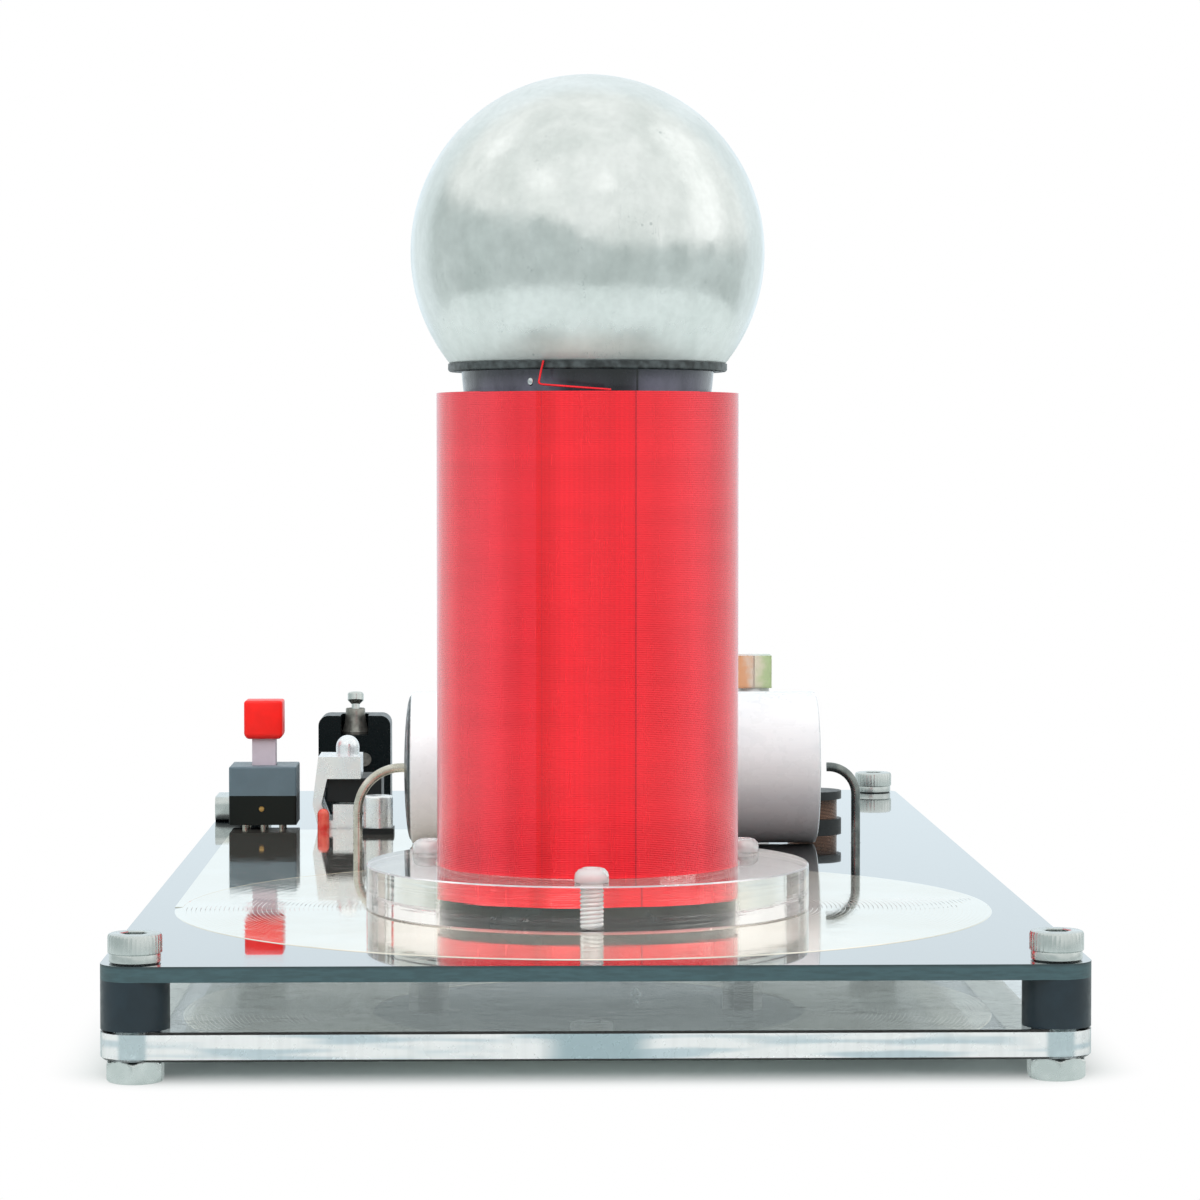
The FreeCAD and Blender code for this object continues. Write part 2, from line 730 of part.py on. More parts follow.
def make_copper():
    for name, level in (("primary_spiral", BOARD_TOP), ("return_spiral", BOARD_BOTTOM - mm("copper_thickness"))):
        shape, gap = spiral_shape(level)
        print(name, "least gap", round(gap, 3), "mm, volume", round(shape.Volume, 3))
        node(name, from_shape(name, shape))

    width, length = "pour_right_x - pour_left_x", "pour_rear_y - coil_center_y"
    sheet_at = ("(pour_left_x + pour_right_x) / 2", "(pour_rear_y + coil_center_y) / 2", "board_top")
    area = block("pour_sheet", (width, length, "copper_thickness"), sheet_at)
    through = "copper_thickness + 2 * cut_overrun"
    disc = cylinder("pour_cutter", "spiral_outer_radius + pour_gap", through,
                    (*COIL_AT, "board_top - cut_overrun"))
    lead_way = cylinder("pour_lead_hole", "capacitor_lead_radius + lead_clearance", through,
                        ("capacitor_left_x", "capacitor_center_y", "board_top - cut_overrun"))
    node("copper_pour", cut("pour", area, disc, lead_way))


# Clamp ring

def ring_screw_places():
    """One screw faces the front edge, and the other two stand a third of a turn away."""
    places = []
    for third in range(3):
        angle = f"(ring_screw_degrees + {third} * 120) * 1 deg"
        places.append((f"ring_screw_circle * cos({angle})",
                       f"coil_center_y + ring_screw_circle * sin({angle})"))
    return places


def make_clamp_ring():
    blank = tube("ring", "ring_outer_radius", "ring_bore_radius", "ring_height", (*COIL_AT, "pour_top"))
    rim = at_height(mm("ring_top"))
    outside = mm("ring_outer_radius") + mm("ring_bore_radius")
    blank = soften("ring_rim", blank, "ring_edge_radius", lambda box: rim(box) and box.XLength > outside)
    holes, screws, nuts = [], [], []
    head_top = mm("ring_top") + mm("ring_head_height")
    for index, place_at in enumerate(ring_screw_places()):
        holes.append(cylinder(f"ring_bore{index}", "ring_screw_radius + screw_clearance",
                              "ring_height + 2 * cut_overrun", (*place_at, "pour_top - cut_overrun")))
        head = cylinder(f"ring_head{index}", "ring_head_radius", "ring_head_height", (*place_at, "ring_top"))
        head = soften(f"ring_crown{index}", head, "ring_head_rounding", at_height(head_top))
        slot = block(f"ring_slot{index}",
                     ("2 * ring_head_radius + cut_overrun", "ring_slot_width", "ring_slot_depth + cut_overrun"),
                     (*place_at, "ring_top + ring_head_height - ring_slot_depth"))
        foot = "board_bottom - ring_nut_height - ring_screw_overhang"
        shank = cylinder(f"ring_shank{index}", "ring_screw_radius", f"ring_top - ({foot})", (*place_at, foot))
        screws.append(fuse(f"ring_screw{index}", cut(f"ring_slotted{index}", head, slot), shank))
        nut = hexagon(f"ring_nut_blank{index}", "ring_nut_width", "ring_nut_height",
                      (*place_at, "board_bottom - ring_nut_height"))
        bore = cylinder(f"ring_nut_bore{index}", "ring_screw_radius + thread_clearance",
                        "ring_nut_height + 2 * cut_overrun",
                        (*place_at, "board_bottom - ring_nut_height - cut_overrun"))
        nuts.append(cut(f"ring_nut{index}", nut, bore))
    node("clamp_ring", cut("drilled_ring", blank, *holes))
    node("ring_screws", group("ring_screw_set", screws))
    node("ring_nuts", group("ring_nut_set", nuts))


# Secondary coil

def make_coil():
    form = tube("form", "form_outer_radius", "form_inner_radius", "form_height", (*COIL_AT, "board_top"))
    exit_angle = mm("base_lead_degrees")
    across = Vector(-math.sin(math.radians(exit_angle)), math.cos(math.radians(exit_angle)), 0)
    hole = cylinder("wire_hole", "wire_hole_radius", "form_outer_radius + cut_overrun",
                    (*COIL_AT, "board_top + wire_hole_level"), (across, 90))
    node("coil_form", cut("coil_tube", form, hole))

    sleeve = tube("winding", "form_outer_radius + wrap_gap + winding_thickness", "form_outer_radius + wrap_gap",
                  "winding_top - winding_bottom", (*COIL_AT, "winding_bottom"))
    node("secondary_winding", sleeve)

    wrap_radius = mm("form_outer_radius") + mm("wrap_gap") + mm("winding_thickness") / 2

    def around(angle, radius, level):
        way = Vector(math.cos(math.radians(angle)), math.sin(math.radians(angle)), 0)
        return COIL_CENTER + way * radius + Vector(0, 0, level)

    hole_level = BOARD_TOP + mm("wire_hole_level")
    base_path = [around(exit_angle, wrap_radius, mm("winding_bottom")),
                 around(exit_angle, wrap_radius, hole_level),
                 around(exit_angle, mm("base_lead_radius"), hole_level),
                 around(exit_angle, mm("base_lead_radius"), BOARD_BOTTOM)]
    node("base_lead", from_shape("base_wire", bent_wire(base_path, mm("wire_bend"), mm("wire_radius"))))
    lead_hole("base_lead_radius * cos(base_lead_degrees * 1 deg)",
              "coil_center_y + base_lead_radius * sin(base_lead_degrees * 1 deg)", "wire_radius")

    lead_angle = mm("top_lead_degrees")
    over_form = mm("form_top") + mm("wire_radius") + mm("wrap_gap")
    beside_plug = mm("plug_neck_radius") + mm("wire_radius") + mm("wrap_gap")
    top_path = [around(lead_angle, wrap_radius, mm("winding_top")),
                around(lead_angle, wrap_radius, over_form),
                around(lead_angle, beside_plug, over_form),
                around(lead_angle, beside_plug, mm("gasket_bottom"))]
    node("top_lead", from_shape("top_wire", bent_wire(top_path, mm("wire_bend"), mm("wire_radius"))))


def make_ball():
    spigot = cylinder("plug_spigot", "form_inner_radius - plug_clearance", "plug_depth",
                      (*COIL_AT, "form_top - plug_depth"))
    taper = cone("plug_taper", "plug_foot_radius", "plug_neck_radius", "plug_taper_height",
                 (*COIL_AT, "form_top"))
    neck = cylinder("plug_neck_blank", "plug_neck_radius", "plug_neck_height", (*COIL_AT, "gasket_bottom"))
    neck = soften("plug_neck", neck, "plug_bevel", at_height(mm("gasket_bottom") + mm("plug_neck_height")))
    node("form_plug", fuse("plug", spigot, taper, neck))

    washer = tube("gasket", "gasket_radius", "plug_neck_radius + plug_clearance", "gasket_thickness",
                  (*COIL_AT, "gasket_bottom"))
    rim = at_height(mm("gasket_bottom"))
    outside = 2 * mm("plug_neck_radius") + mm("gasket_thickness")
    node("ball_gasket", soften("gasket_edge", washer, "gasket_rounding",
                               lambda box: rim(box) and box.XLength > outside))

    center = (*COIL_AT, "ball_center_z")
    shell = ball("ball_outside", "ball_radius", center)
    hollow = ball("ball_inside", "ball_radius - ball_wall", center)
    below = cylinder("ball_trim", "ball_radius + cut_overrun", "ball_radius",
                     (*COIL_AT, "gasket_top - ball_radius"))
    node("discharge_ball", cut("ball_shell", shell, hollow, below))


# Film capacitor

def make_capacitor():
    along_x = (Vector(0, 1, 0), 90)
    left, right = "capacitor_center_x - capacitor_length / 2", "capacitor_center_x + capacitor_length / 2"
    body = cylinder("capacitor_wrap", "capacitor_radius", "capacitor_length",
                    (left, "capacitor_center_y", "capacitor_axis_z"), along_x)
    node("capacitor_body", soften("capacitor_rolled", body, "capacitor_edge_radius",
                                  lambda box: box.XLength < mm("capacitor_edge_radius")))
    ends = []
    for name, inner, outer, start in (
            ("left", left, f"{left} - capacitor_end_thickness", f"{left} - capacitor_end_thickness"),
            ("right", right, f"{right} + capacitor_end_thickness", right)):
        disc = cylinder(f"capacitor_{name}_disc", "capacitor_end_radius", "capacitor_end_thickness",
                        (start, "capacitor_center_y", "capacitor_axis_z"), along_x)
        sign = -1 if name == "left" else 1
        reach = mm("capacitor_center_x") + sign * (mm("capacitor_length") / 2 + mm("capacitor_end_thickness"))
        ends.append(soften(f"capacitor_{name}_dome", disc, "capacitor_end_rounding",
                           lambda box, x=reach: math.isclose(box.XMax, x, rel_tol=ALIKE)
                           and math.isclose(box.XMin, x, rel_tol=ALIKE)))
        corner_x, bend = f"capacitor_{name}_x", f"capacitor_{name}_bend"
        y, axis_z = mm("capacitor_center_y"), mm("capacitor_axis_z")
        path = [Vector(reach, y, axis_z), Vector(mm(corner_x), y, axis_z), Vector(mm(corner_x), y, BOARD_BOTTOM)]
        wire = bent_wire(path, mm(bend), mm("capacitor_lead_radius"))
        node(f"capacitor_lead_{name}", from_shape(f"capacitor_{name}_wire", wire))
        lead_hole(corner_x, "capacitor_center_y", "capacitor_lead_radius")
    node("capacitor_ends", group("capacitor_domes", ends))


# Push switch

def make_push_switch():
    center = ("switch_center_x", "switch_center_y")
    footprint = ("switch_width", "switch_depth")
    lower = block("switch_lower", (*footprint, "switch_parting - switch_standoff"),
                  (*center, "board_top + switch_standoff"))
    lower = soften("switch_lower_edges", lower, "switch_edge_radius", upright)
    well_floor = "switch_standoff + switch_floor"
    well = block("switch_well", ("switch_well_width", "switch_well_width", "switch_parting"),
                 (*center, f"board_top + {well_floor}"))
    node("switch_base", cut("switch_tray", lower, well))

    upper = block("switch_upper", (*footprint, "switch_top - switch_parting"),
                  (*center, "board_top + switch_parting"))
    upper = soften("switch_upper_edges", upper, "switch_edge_radius",
                   lambda box: upright(box) or at_height(BOARD_TOP + mm("switch_top"))(box))
    chamber = block("switch_chamber",
                    ("switch_chamber_width", "switch_chamber_width",
                     "switch_top - switch_roof - switch_parting + cut_overrun"),
                    (*center, "board_top + switch_parting - cut_overrun"))
    stem_hole_width = "switch_stem_width + 2 * switch_stem_clearance"
    stem_hole = block("switch_stem_hole", (stem_hole_width, stem_hole_width, "switch_top"),
                      (*center, "board_top + switch_parting"))
    node("switch_housing", cut("switch_lid", upper, chamber, stem_hole))

    foot = block("switch_foot", ("switch_foot_width", "switch_foot_width", "switch_foot_height"),
                 (*center, "foot_top - switch_foot_height"))
    stem = block("switch_shaft",
                 ("switch_stem_width", "switch_stem_width",
                  "board_top + switch_top + switch_stem_show + switch_cap_socket_depth - foot_top"
                  " + switch_foot_height"),
                 (*center, "foot_top - switch_foot_height"))
    node("switch_stem", fuse("switch_plunger", foot, stem))

    cap_bottom = "board_top + switch_top + switch_stem_show"
    cap = block("switch_cap_blank", ("switch_cap_width", "switch_cap_width", "switch_cap_height"),
                (*center, cap_bottom))
    cap_floor = BOARD_TOP + mm("switch_top") + mm("switch_stem_show")
    cap = soften("switch_cap_edges", cap, "switch_cap_rounding",
                 lambda box: upright(box) or box.ZMin > cap_floor)
    socket_width = "switch_stem_width + 2 * switch_cap_clearance"
    socket = block("switch_cap_socket",
                   (socket_width, socket_width, "switch_cap_socket_depth + switch_cap_clearance + cut_overrun"),
                   (*center, f"{cap_bottom} - cut_overrun"))
    node("switch_cap", cut("switch_button", cap, socket))

    pins = []
    for row in (-1, 1):
        for column in (-1, 0, 1):
            at = (f"switch_center_x + {column} * switch_pin_pitch", f"switch_center_y + {row} * switch_pin_row / 2")
            pins.append(cylinder(f"switch_pin{len(pins)}", "switch_pin_radius",
                                 "board_thickness + switch_standoff", (*at, "board_bottom")))
            lead_hole(*at, "switch_pin_radius")
    node("switch_pins", group("switch_pin_set", pins))

    floor = BOARD_TOP + mm("switch_standoff") + mm("switch_floor")
    height = mm("foot_top") - mm("switch_foot_height") - floor
    wire = mm("spring_wire_radius")
    turns = mm("spring_turns")
    shape, gap = coiled_wire(turns, mm("spring_radius"), (height - 2 * wire) / turns, wire)
    print("switch_spring least gap", round(gap, 3), "mm, volume", round(shape.Volume, 3))
    spring = from_shape("switch_return_spring", shape)
    spring.Placement = Placement(Vector(mm("switch_center_x"), mm("switch_center_y"), floor + wire), Rotation())
    node("switch_spring", spring)


# Transistor and heat sink

def make_transistor():
    left, right = mm("sink_left_x"), mm("sink_right_x")
    top, bar = BOARD_TOP + mm("sink_top"), mm("sink_underside")
    leg, bulge = mm("sink_leg_thickness"), mm("sink_leg_bulge")
    foot = BOARD_TOP + mm("sink_foot_thickness")
    waist = (BOARD_TOP + bar) / 2
    front = mm("sink_front_y")
    outline = [(left, top), (right, top), (right, bar), (left + leg, bar), (left + leg - bulge, waist),
               (left + leg, foot), (right, foot), (right, BOARD_TOP), (left, BOARD_TOP), (left - bulge, waist)]
    corners = [Vector(x, front, z) for x, z in outline]
    section = Part.Face(Part.makePolygon(corners + corners[:1]))
    bracket = from_shape("sink_bracket", section.extrude(Vector(0, mm("sink_depth"), 0)))
    lip = block("sink_lip",
                ("sink_right_x - sink_left_x - sink_lip_inset", "sink_lip_thickness",
                 "sink_lip_height - sink_foot_thickness"),
                ("(sink_left_x + sink_right_x + sink_lip_inset) / 2", "sink_front_y + sink_lip_thickness / 2",
                 "board_top + sink_foot_thickness"))
    screw_at = ("transistor_screw_x", "sink_front_y + sink_depth / 2")
    drill = cylinder("sink_hole", "transistor_screw_radius + screw_clearance", "sink_bar_height + 2 * cut_overrun",
                     (*screw_at, "sink_underside - cut_overrun"))
    node("heat_sink", cut("sink", fuse("sink_folded", bracket, lip), drill))

    body = block("transistor_block", ("transistor_width", "transistor_length", "transistor_thickness"),
                 ("transistor_x", "transistor_front_y + transistor_length / 2", "transistor_bottom"))
    body = soften("transistor_edges", body, "transistor_edge_radius", at_height(mm("transistor_bottom")))
    hole = cylinder("transistor_hole", "transistor_screw_radius + screw_clearance",
                    "transistor_thickness + 2 * cut_overrun", (*screw_at, "transistor_bottom - cut_overrun"))
    node("transistor_body", cut("transistor", body, hole))

    head = cylinder("transistor_head", "transistor_head_radius", "transistor_head_height",
                    (*screw_at, "board_top + sink_top"))
    dome = ball("transistor_dome", "transistor_head_radius",
                (*screw_at, "board_top + sink_top + transistor_head_height"))
    dome.Angle1 = 0
    shank_foot = "transistor_bottom - transistor_nut_height"
    shank = cylinder("transistor_shank", "transistor_screw_radius", f"board_top + sink_top - ({shank_foot})",
                     (*screw_at, shank_foot))
    node("transistor_screw", fuse("dome_screw", head, dome, shank))
    nut = hexagon("transistor_nut_blank", "transistor_nut_width", "transistor_nut_height", (*screw_at, shank_foot))
    bore = cylinder("transistor_nut_bore", "transistor_screw_radius + thread_clearance",
                    "transistor_nut_height + 2 * cut_overrun", (*screw_at, f"{shank_foot} - cut_overrun"))
    node("transistor_nut", cut("transistor_nut_cut", nut, bore))

    legs = []
    rear = mm("transistor_front_y") + mm("transistor_length")
    level = mm("transistor_bottom") + mm("transistor_thickness") / 2
    for column in (-1, 0, 1):
        x = mm("transistor_x") + column * mm("transistor_leg_pitch")
        y = rear + mm("transistor_leg_reach")
        path = [Vector(x, rear, level), Vector(x, y, level), Vector(x, y, BOARD_BOTTOM)]
        legs.append(from_shape(f"transistor_leg{column + 1}",
                               bent_wire(path, mm("transistor_leg_bend"), mm("transistor_leg_radius"))))
        lead_hole(f"transistor_x + {column} * transistor_leg_pitch",
                  "transistor_front_y + transistor_length + transistor_leg_reach", "transistor_leg_radius")
    node("transistor_legs", group("transistor_leg_set", legs))


def make_indicator():
    at = ("indicator_x", "indicator_y")
    barrel = cylinder("indicator_barrel", "indicator_radius", "indicator_height - indicator_radius",
                      (*at, "pour_top"))
    dome = ball("indicator_dome", "indicator_radius", (*at, "pour_top + indicator_height - indicator_radius"))
    dome.Angle1 = 0
    node("indicator_led", fuse("indicator", barrel, dome))


# Toggle switch

def make_toggle():
    center = ("toggle_center_x", "toggle_center_y")
    body = block("toggle_block", ("toggle_width", "toggle_depth", "toggle_height"), (*center, "board_top"))
    top = BOARD_TOP + mm("toggle_height")
    depth = mm("toggle_depth")
    body = soften("toggle_shoulders", body, "toggle_shoulder_radius",
                  lambda box: at_height(top)(box) and math.isclose(box.YLength, depth, rel_tol=ALIKE))
    well = cylinder("toggle_well", "toggle_well_radius", "toggle_well_depth + cut_overrun",
                    (*center, "bushing_bottom"))
    notch = block("toggle_notch", ("2 * toggle_well_radius", "toggle_depth / 2 + cut_overrun",
                                   "toggle_well_depth + cut_overrun"),
                  ("toggle_center_x", "toggle_front_y + toggle_depth / 4 - cut_overrun / 2", "bushing_bottom"))
    node("toggle_body", cut("toggle_case", body, well, notch))

    outside = cone("bushing_outside", "bushing_foot_radius", "bushing_mouth_radius", "bushing_height",
                   (*center, "bushing_bottom"))
    bore = cylinder("bushing_bore", "bushing_bore_radius", "bushing_throat_level + cut_overrun",
                    (*center, "bushing_bottom - cut_overrun"))
    flare = cone("bushing_flare", "bushing_bore_radius", "bushing_flare_radius",
                 "bushing_height - bushing_throat_level", (*center, "bushing_bottom + bushing_throat_level"))
    node("toggle_bushing", cut("bushing", outside, bore, flare))

    pivot = ball("lever_ball", "lever_ball_radius", ("0", "0", "0"))
    shaft = cylinder("lever_shaft", "lever_shaft_radius", "lever_shaft_length", ("0", "0", "0"))
    flared = cone("lever_flare", "lever_shaft_radius", "lever_tip_radius", "lever_flare_length",
                  ("0", "0", "lever_shaft_length"))
    tip = cylinder("lever_tip_blank", "lever_tip_radius", "lever_tip_length",
                   ("0", "0", "lever_shaft_length + lever_flare_length"))
    tip_top = mm("lever_shaft_length") + mm("lever_flare_length") + mm("lever_tip_length")
    tip = soften("lever_tip", tip, "lever_tip_rounding", at_height(tip_top))
    lever = fuse("lever", pivot, shaft, flared, tip)
    node("toggle_lever", place(lever, (*center, "pivot_z"), (Vector(1, 0, 0), -mm("lever_lean_degrees"))))

    rivet = cylinder("rivet", "rivet_radius", "rivet_thickness",
                     ("toggle_center_x + rivet_offset_x", "toggle_front_y", "board_top + rivet_level"),
                     (Vector(1, 0, 0), 90))
    node("toggle_rivet", rivet)
    pins = []
    for column in (-1, 0, 1):
        at = (f"toggle_center_x + {column} * toggle_pin_pitch", "toggle_center_y")
        pins.append(cylinder(f"toggle_pin{column + 1}", "toggle_pin_radius", "board_thickness",
                             (*at, "board_bottom")))
        lead_hole(*at, "toggle_pin_radius")
    node("toggle_pins", group("toggle_pin_set", pins))


# Power socket

def make_power_socket():
    middle = ("(socket_depth - board_width) / 2", "socket_center_y")
    shell = block("socket_blank", ("socket_depth", "socket_width", "socket_height"), (*middle, "board_top"))
    depth = mm("socket_depth")

    def along_x(box):
        return math.isclose(box.XLength, depth, rel_tol=ALIKE)

    shell = soften("socket_rounded", shell, "socket_corner_radius", along_x)
    cavity_depth = "socket_depth - socket_back_wall"
    cavity = block("socket_cavity_blank",
                   (f"{cavity_depth} + cut_overrun", "socket_width - 2 * socket_wall",
                    "socket_height - 2 * socket_wall"),
                   (f"({cavity_depth} - cut_overrun - board_width) / 2", "socket_center_y",
                    "board_top + socket_wall"))
    reach = mm("socket_depth") - mm("socket_back_wall") + mm("cut_overrun")
    doc.recompute()
    inner = doc.addObject("Part::Fillet", "socket_cavity")
    inner.Base = cavity
    radius = mm("socket_corner_radius") - mm("socket_wall")
    inner.Edges = [(n, radius, radius) for n, edge in enumerate(cavity.Shape.Edges, 1)
                   if math.isclose(edge.BoundBox.XLength, reach, rel_tol=ALIKE)]
    node("socket_shell", cut("socket_can", shell, inner))
    tongue = block("socket_tongue_plate",
                   (f"{cavity_depth} - tongue_setback", "tongue_width", "tongue_thickness"),
                   (f"({cavity_depth} + tongue_setback - board_width) / 2", "socket_center_y",
                    "board_top + (socket_height - tongue_thickness) / 2"))
    node("socket_tongue", tongue)


# Inductor, lamp and small can

def make_inductor():
    center = ("inductor_center_x", "inductor_center_y")
    lower = cylinder("inductor_foot", "inductor_radius", "inductor_flange_thickness", (*center, "board_top"))
    waist = cylinder("inductor_waist", "inductor_waist_radius", "inductor_height", (*center, "board_top"))
    upper = cylinder("inductor_head", "inductor_radius", "inductor_flange_thickness",
                     (*center, "board_top + inductor_height - inductor_flange_thickness"))
    node("inductor_core", fuse("drum_core", lower, waist, upper))
    sleeve = tube("drum_winding", "inductor_winding_radius", "inductor_waist_radius + wrap_gap",
                  "inductor_height - 2 * inductor_flange_thickness",
                  (*center, "board_top + inductor_flange_thickness"))
    node("inductor_winding", sleeve)


def make_lamp():
    center = ("lamp_center_x", "lamp_center_y")
    places = [(f"lamp_center_x + {side} * lamp_lead_spacing / 2", "lamp_center_y") for side in (-1, 1)]
    post = cylinder("lamp_post", "lamp_spacer_radius", "lamp_spacer_height", (*center, "board_top"))
    ways, wires = [], []
    for index, at in enumerate(places):
        ways.append(cylinder(f"lamp_way{index}", "lamp_lead_radius + lead_clearance",
                             "lamp_spacer_height + 2 * cut_overrun", (*at, "board_top - cut_overrun")))
        wires.append(cylinder(f"lamp_wire{index}", "lamp_lead_radius", "lens_bottom - board_bottom",
                              (*at, "board_bottom")))
        lead_hole(*at, "lamp_lead_radius")
    node("lamp_spacer", cut("lamp_tube", post, *ways))
    node("lamp_leads", group("lamp_wires", wires))
    for side, colour in ((-1, "amber"), (1, "green")):
        half = block(f"lamp_{colour}_half", ("lamp_lens_width / 2", "lamp_lens_width", "lamp_lens_height"),
                     (f"lamp_center_x + {side} * lamp_lens_width / 4", "lamp_center_y", "lens_bottom"))
        node(f"lamp_lens_{colour}", half)


def make_can_capacitor():
    center = ("can_center_x", "can_center_y")
    node("can_base", block("can_foot", ("can_base_width", "can_base_width", "can_base_thickness"),
                           (*center, "pour_top")))
    can = cylinder("can_blank", "can_radius", "can_height", (*center, "pour_top + can_base_thickness"))
    can_top = mm("pour_top") + mm("can_base_thickness") + mm("can_height")
    node("can_capacitor", soften("can_shell", can, "can_rounding", at_height(can_top)))


# Driver chip, resistors and bulk capacitor

def make_driver_parts():
    body = block("chip_block", ("chip_length", "chip_width", "chip_height"),
                 ("chip_center_x", "chip_center_y", "chip_bottom"))
    body = soften("chip_edges", body, "chip_edge_radius", lambda box: True)
    notch = cylinder("chip_notch", "chip_notch_radius", "chip_notch_depth + cut_overrun",
                     ("chip_center_x - chip_length / 2", "chip_center_y",
                      "chip_bottom + chip_height - chip_notch_depth"))
    node("driver_chip", cut("chip", body, notch))
    legs = []
    for row in (-1, 1):
        for column in (-1.5, -0.5, 0.5, 1.5):
            at = (f"chip_center_x + {column} * chip_leg_pitch", f"chip_center_y + {row} * chip_leg_row")
            legs.append(block(f"chip_leg{len(legs)}",
                              ("chip_leg_width", "chip_leg_thickness", "board_thickness + chip_leg_shoulder"),
                              (*at, "board_bottom")))
            lead_hole(*at, "chip_leg_width / 2")
    node("chip_legs", group("chip_leg_set", legs))

    bodies, wires = [], []
    half, span = mm("resistor_length") / 2, mm("resistor_span") / 2
    for row in range(2):
        y_text = f"resistor_first_y + {row} * resistor_spacing"
        y = mm("resistor_first_y") + row * mm("resistor_spacing")
        axis_z = BOARD_TOP + mm("resistor_radius")
        rod = cylinder(f"resistor_rod{row}", "resistor_radius", "resistor_length",
                       ("resistor_center_x - resistor_length / 2", y_text, "board_top + resistor_radius"),
                       (Vector(0, 1, 0), 90))
        bodies.append(soften(f"resistor{row}", rod, "resistor_rounding", lambda box: box.XLength < half))
        for side in (-1, 1):
            x = mm("resistor_center_x")
            path = [Vector(x + side * half, y, axis_z), Vector(x + side * span, y, axis_z),
                    Vector(x + side * span, y, BOARD_BOTTOM)]
            wires.append(from_shape(f"resistor_wire{len(wires)}",
                                    bent_wire(path, mm("resistor_lead_bend"), mm("resistor_lead_radius"))))
            lead_hole(f"resistor_center_x + {side} * resistor_span / 2", y_text, "resistor_lead_radius")
    node("resistor_bodies", group("resistor_set", bodies))
    node("resistor_leads", group("resistor_wires", wires))

    chips = [block(f"chip_resistor{n}", ("chip_resistor_width", "chip_resistor_length", "chip_resistor_height"),
                   (f"chip_resistor_first_x + {n} * chip_resistor_spacing", "chip_resistor_y", "board_top"))
             for n in range(int(mm("chip_resistor_count")))]
    node("chip_resistors", group("chip_resistor_set", chips))

    can = cylinder("bulk_blank", "bulk_radius", "bulk_height", ("bulk_center_x", "bulk_center_y", "board_top"))
    node("bulk_capacitor", soften("bulk_can", can, "bulk_rounding", at_height(BOARD_TOP + mm("bulk_height"))))
    bulk_legs = []
    for side in (-1, 1):
        at = (f"bulk_center_x + {side} * bulk_leg_spacing / 2", "bulk_center_y")
        bulk_legs.append(cylinder(f"bulk_leg{len(bulk_legs)}", "bulk_leg_radius", "board_thickness",
                                  (*at, "board_bottom")))
        lead_hole(*at, "bulk_leg_radius")
    node("bulk_legs", group("bulk_leg_set", bulk_legs))


def make_solder():
    """A cone of solder under each lead that passes the board."""
    cones = [cone(f"solder{index}", "solder_tip_radius", f"{radius} + solder_pad_margin", "solder_height",
                  (x, y, "board_bottom - solder_height"))
             for index, (x, y, radius) in enumerate(LEAD_HOLES)]
    node("solder_joints", group("solder_set", cones))


make_base_plate()
make_corner_fasteners()
make_copper()
make_clamp_ring()
make_coil()
make_ball()
make_capacitor()
make_push_switch()
make_transistor()
make_indicator()
make_toggle()
make_power_socket()
make_inductor()
make_lamp()
make_can_capacitor()
make_driver_parts()
make_circuit_board()
make_solder()
doc.recompute()

for piece in doc.Objects:
    if "Invalid" in piece.State or "Error" in piece.State:
        raise RuntimeError(f"{piece.Name} is {piece.State}")
for name, piece in NODES.items():
    if piece.Shape.isNull() or not piece.Shape.isValid() or not piece.Shape.Solids:
        raise RuntimeError(f"{name} has no valid solid")
for name, piece in NODES.items():
    piece.Shape.exportStep(f"parts/{name}.step")
print(len(NODES), "sub-parts written")
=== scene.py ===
import math

import bmesh
import bpy
from mathutils import Matrix, Vector


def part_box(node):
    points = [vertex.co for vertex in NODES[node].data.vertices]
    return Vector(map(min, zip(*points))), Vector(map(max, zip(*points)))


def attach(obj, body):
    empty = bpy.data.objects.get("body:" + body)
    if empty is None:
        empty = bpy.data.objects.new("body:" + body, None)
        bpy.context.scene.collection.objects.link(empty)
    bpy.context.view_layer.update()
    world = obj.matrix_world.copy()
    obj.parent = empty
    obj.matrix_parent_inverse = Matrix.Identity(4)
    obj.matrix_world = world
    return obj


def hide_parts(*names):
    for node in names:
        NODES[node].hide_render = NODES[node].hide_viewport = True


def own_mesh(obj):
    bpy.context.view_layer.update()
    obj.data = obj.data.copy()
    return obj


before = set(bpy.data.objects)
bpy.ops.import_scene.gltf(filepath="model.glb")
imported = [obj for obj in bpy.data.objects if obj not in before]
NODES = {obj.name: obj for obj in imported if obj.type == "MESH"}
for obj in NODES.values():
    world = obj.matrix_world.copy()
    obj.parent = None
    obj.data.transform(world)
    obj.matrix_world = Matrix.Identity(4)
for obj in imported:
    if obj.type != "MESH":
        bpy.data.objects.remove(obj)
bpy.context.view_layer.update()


# Viewpoint and studio
# The transformer stands on a white table before a pale wall, under wide soft boxes, and is seen from
# its front edge a little above the circuit board. The room behind the viewer is dimmer: that gives
# the steel ball its grey belt, and a tall window at the right gives it a bright arc.

MM = 0.001
VIEW_PLACE = (-8.75, -475.0, 62.5)
VIEW_DOWN, VIEW_RIGHT = 2.127, 1.368
LENS_PIXELS = 3769 / 1200

viewpoint = bpy.data.cameras.new("viewpoint")
viewpoint.sensor_width = 36
viewpoint.lens = viewpoint.sensor_width * LENS_PIXELS
viewpoint.clip_start = 10 * MM
viewer = bpy.data.objects.new("viewpoint", viewpoint)
viewer.location = [part * MM for part in VIEW_PLACE]
viewer.rotation_euler = (math.radians(90 - VIEW_DOWN), 0, math.radians(-VIEW_RIGHT))
bpy.context.scene.collection.objects.link(viewer)
bpy.context.scene.camera = viewer
bpy.context.scene.view_settings.view_transform = "Standard"


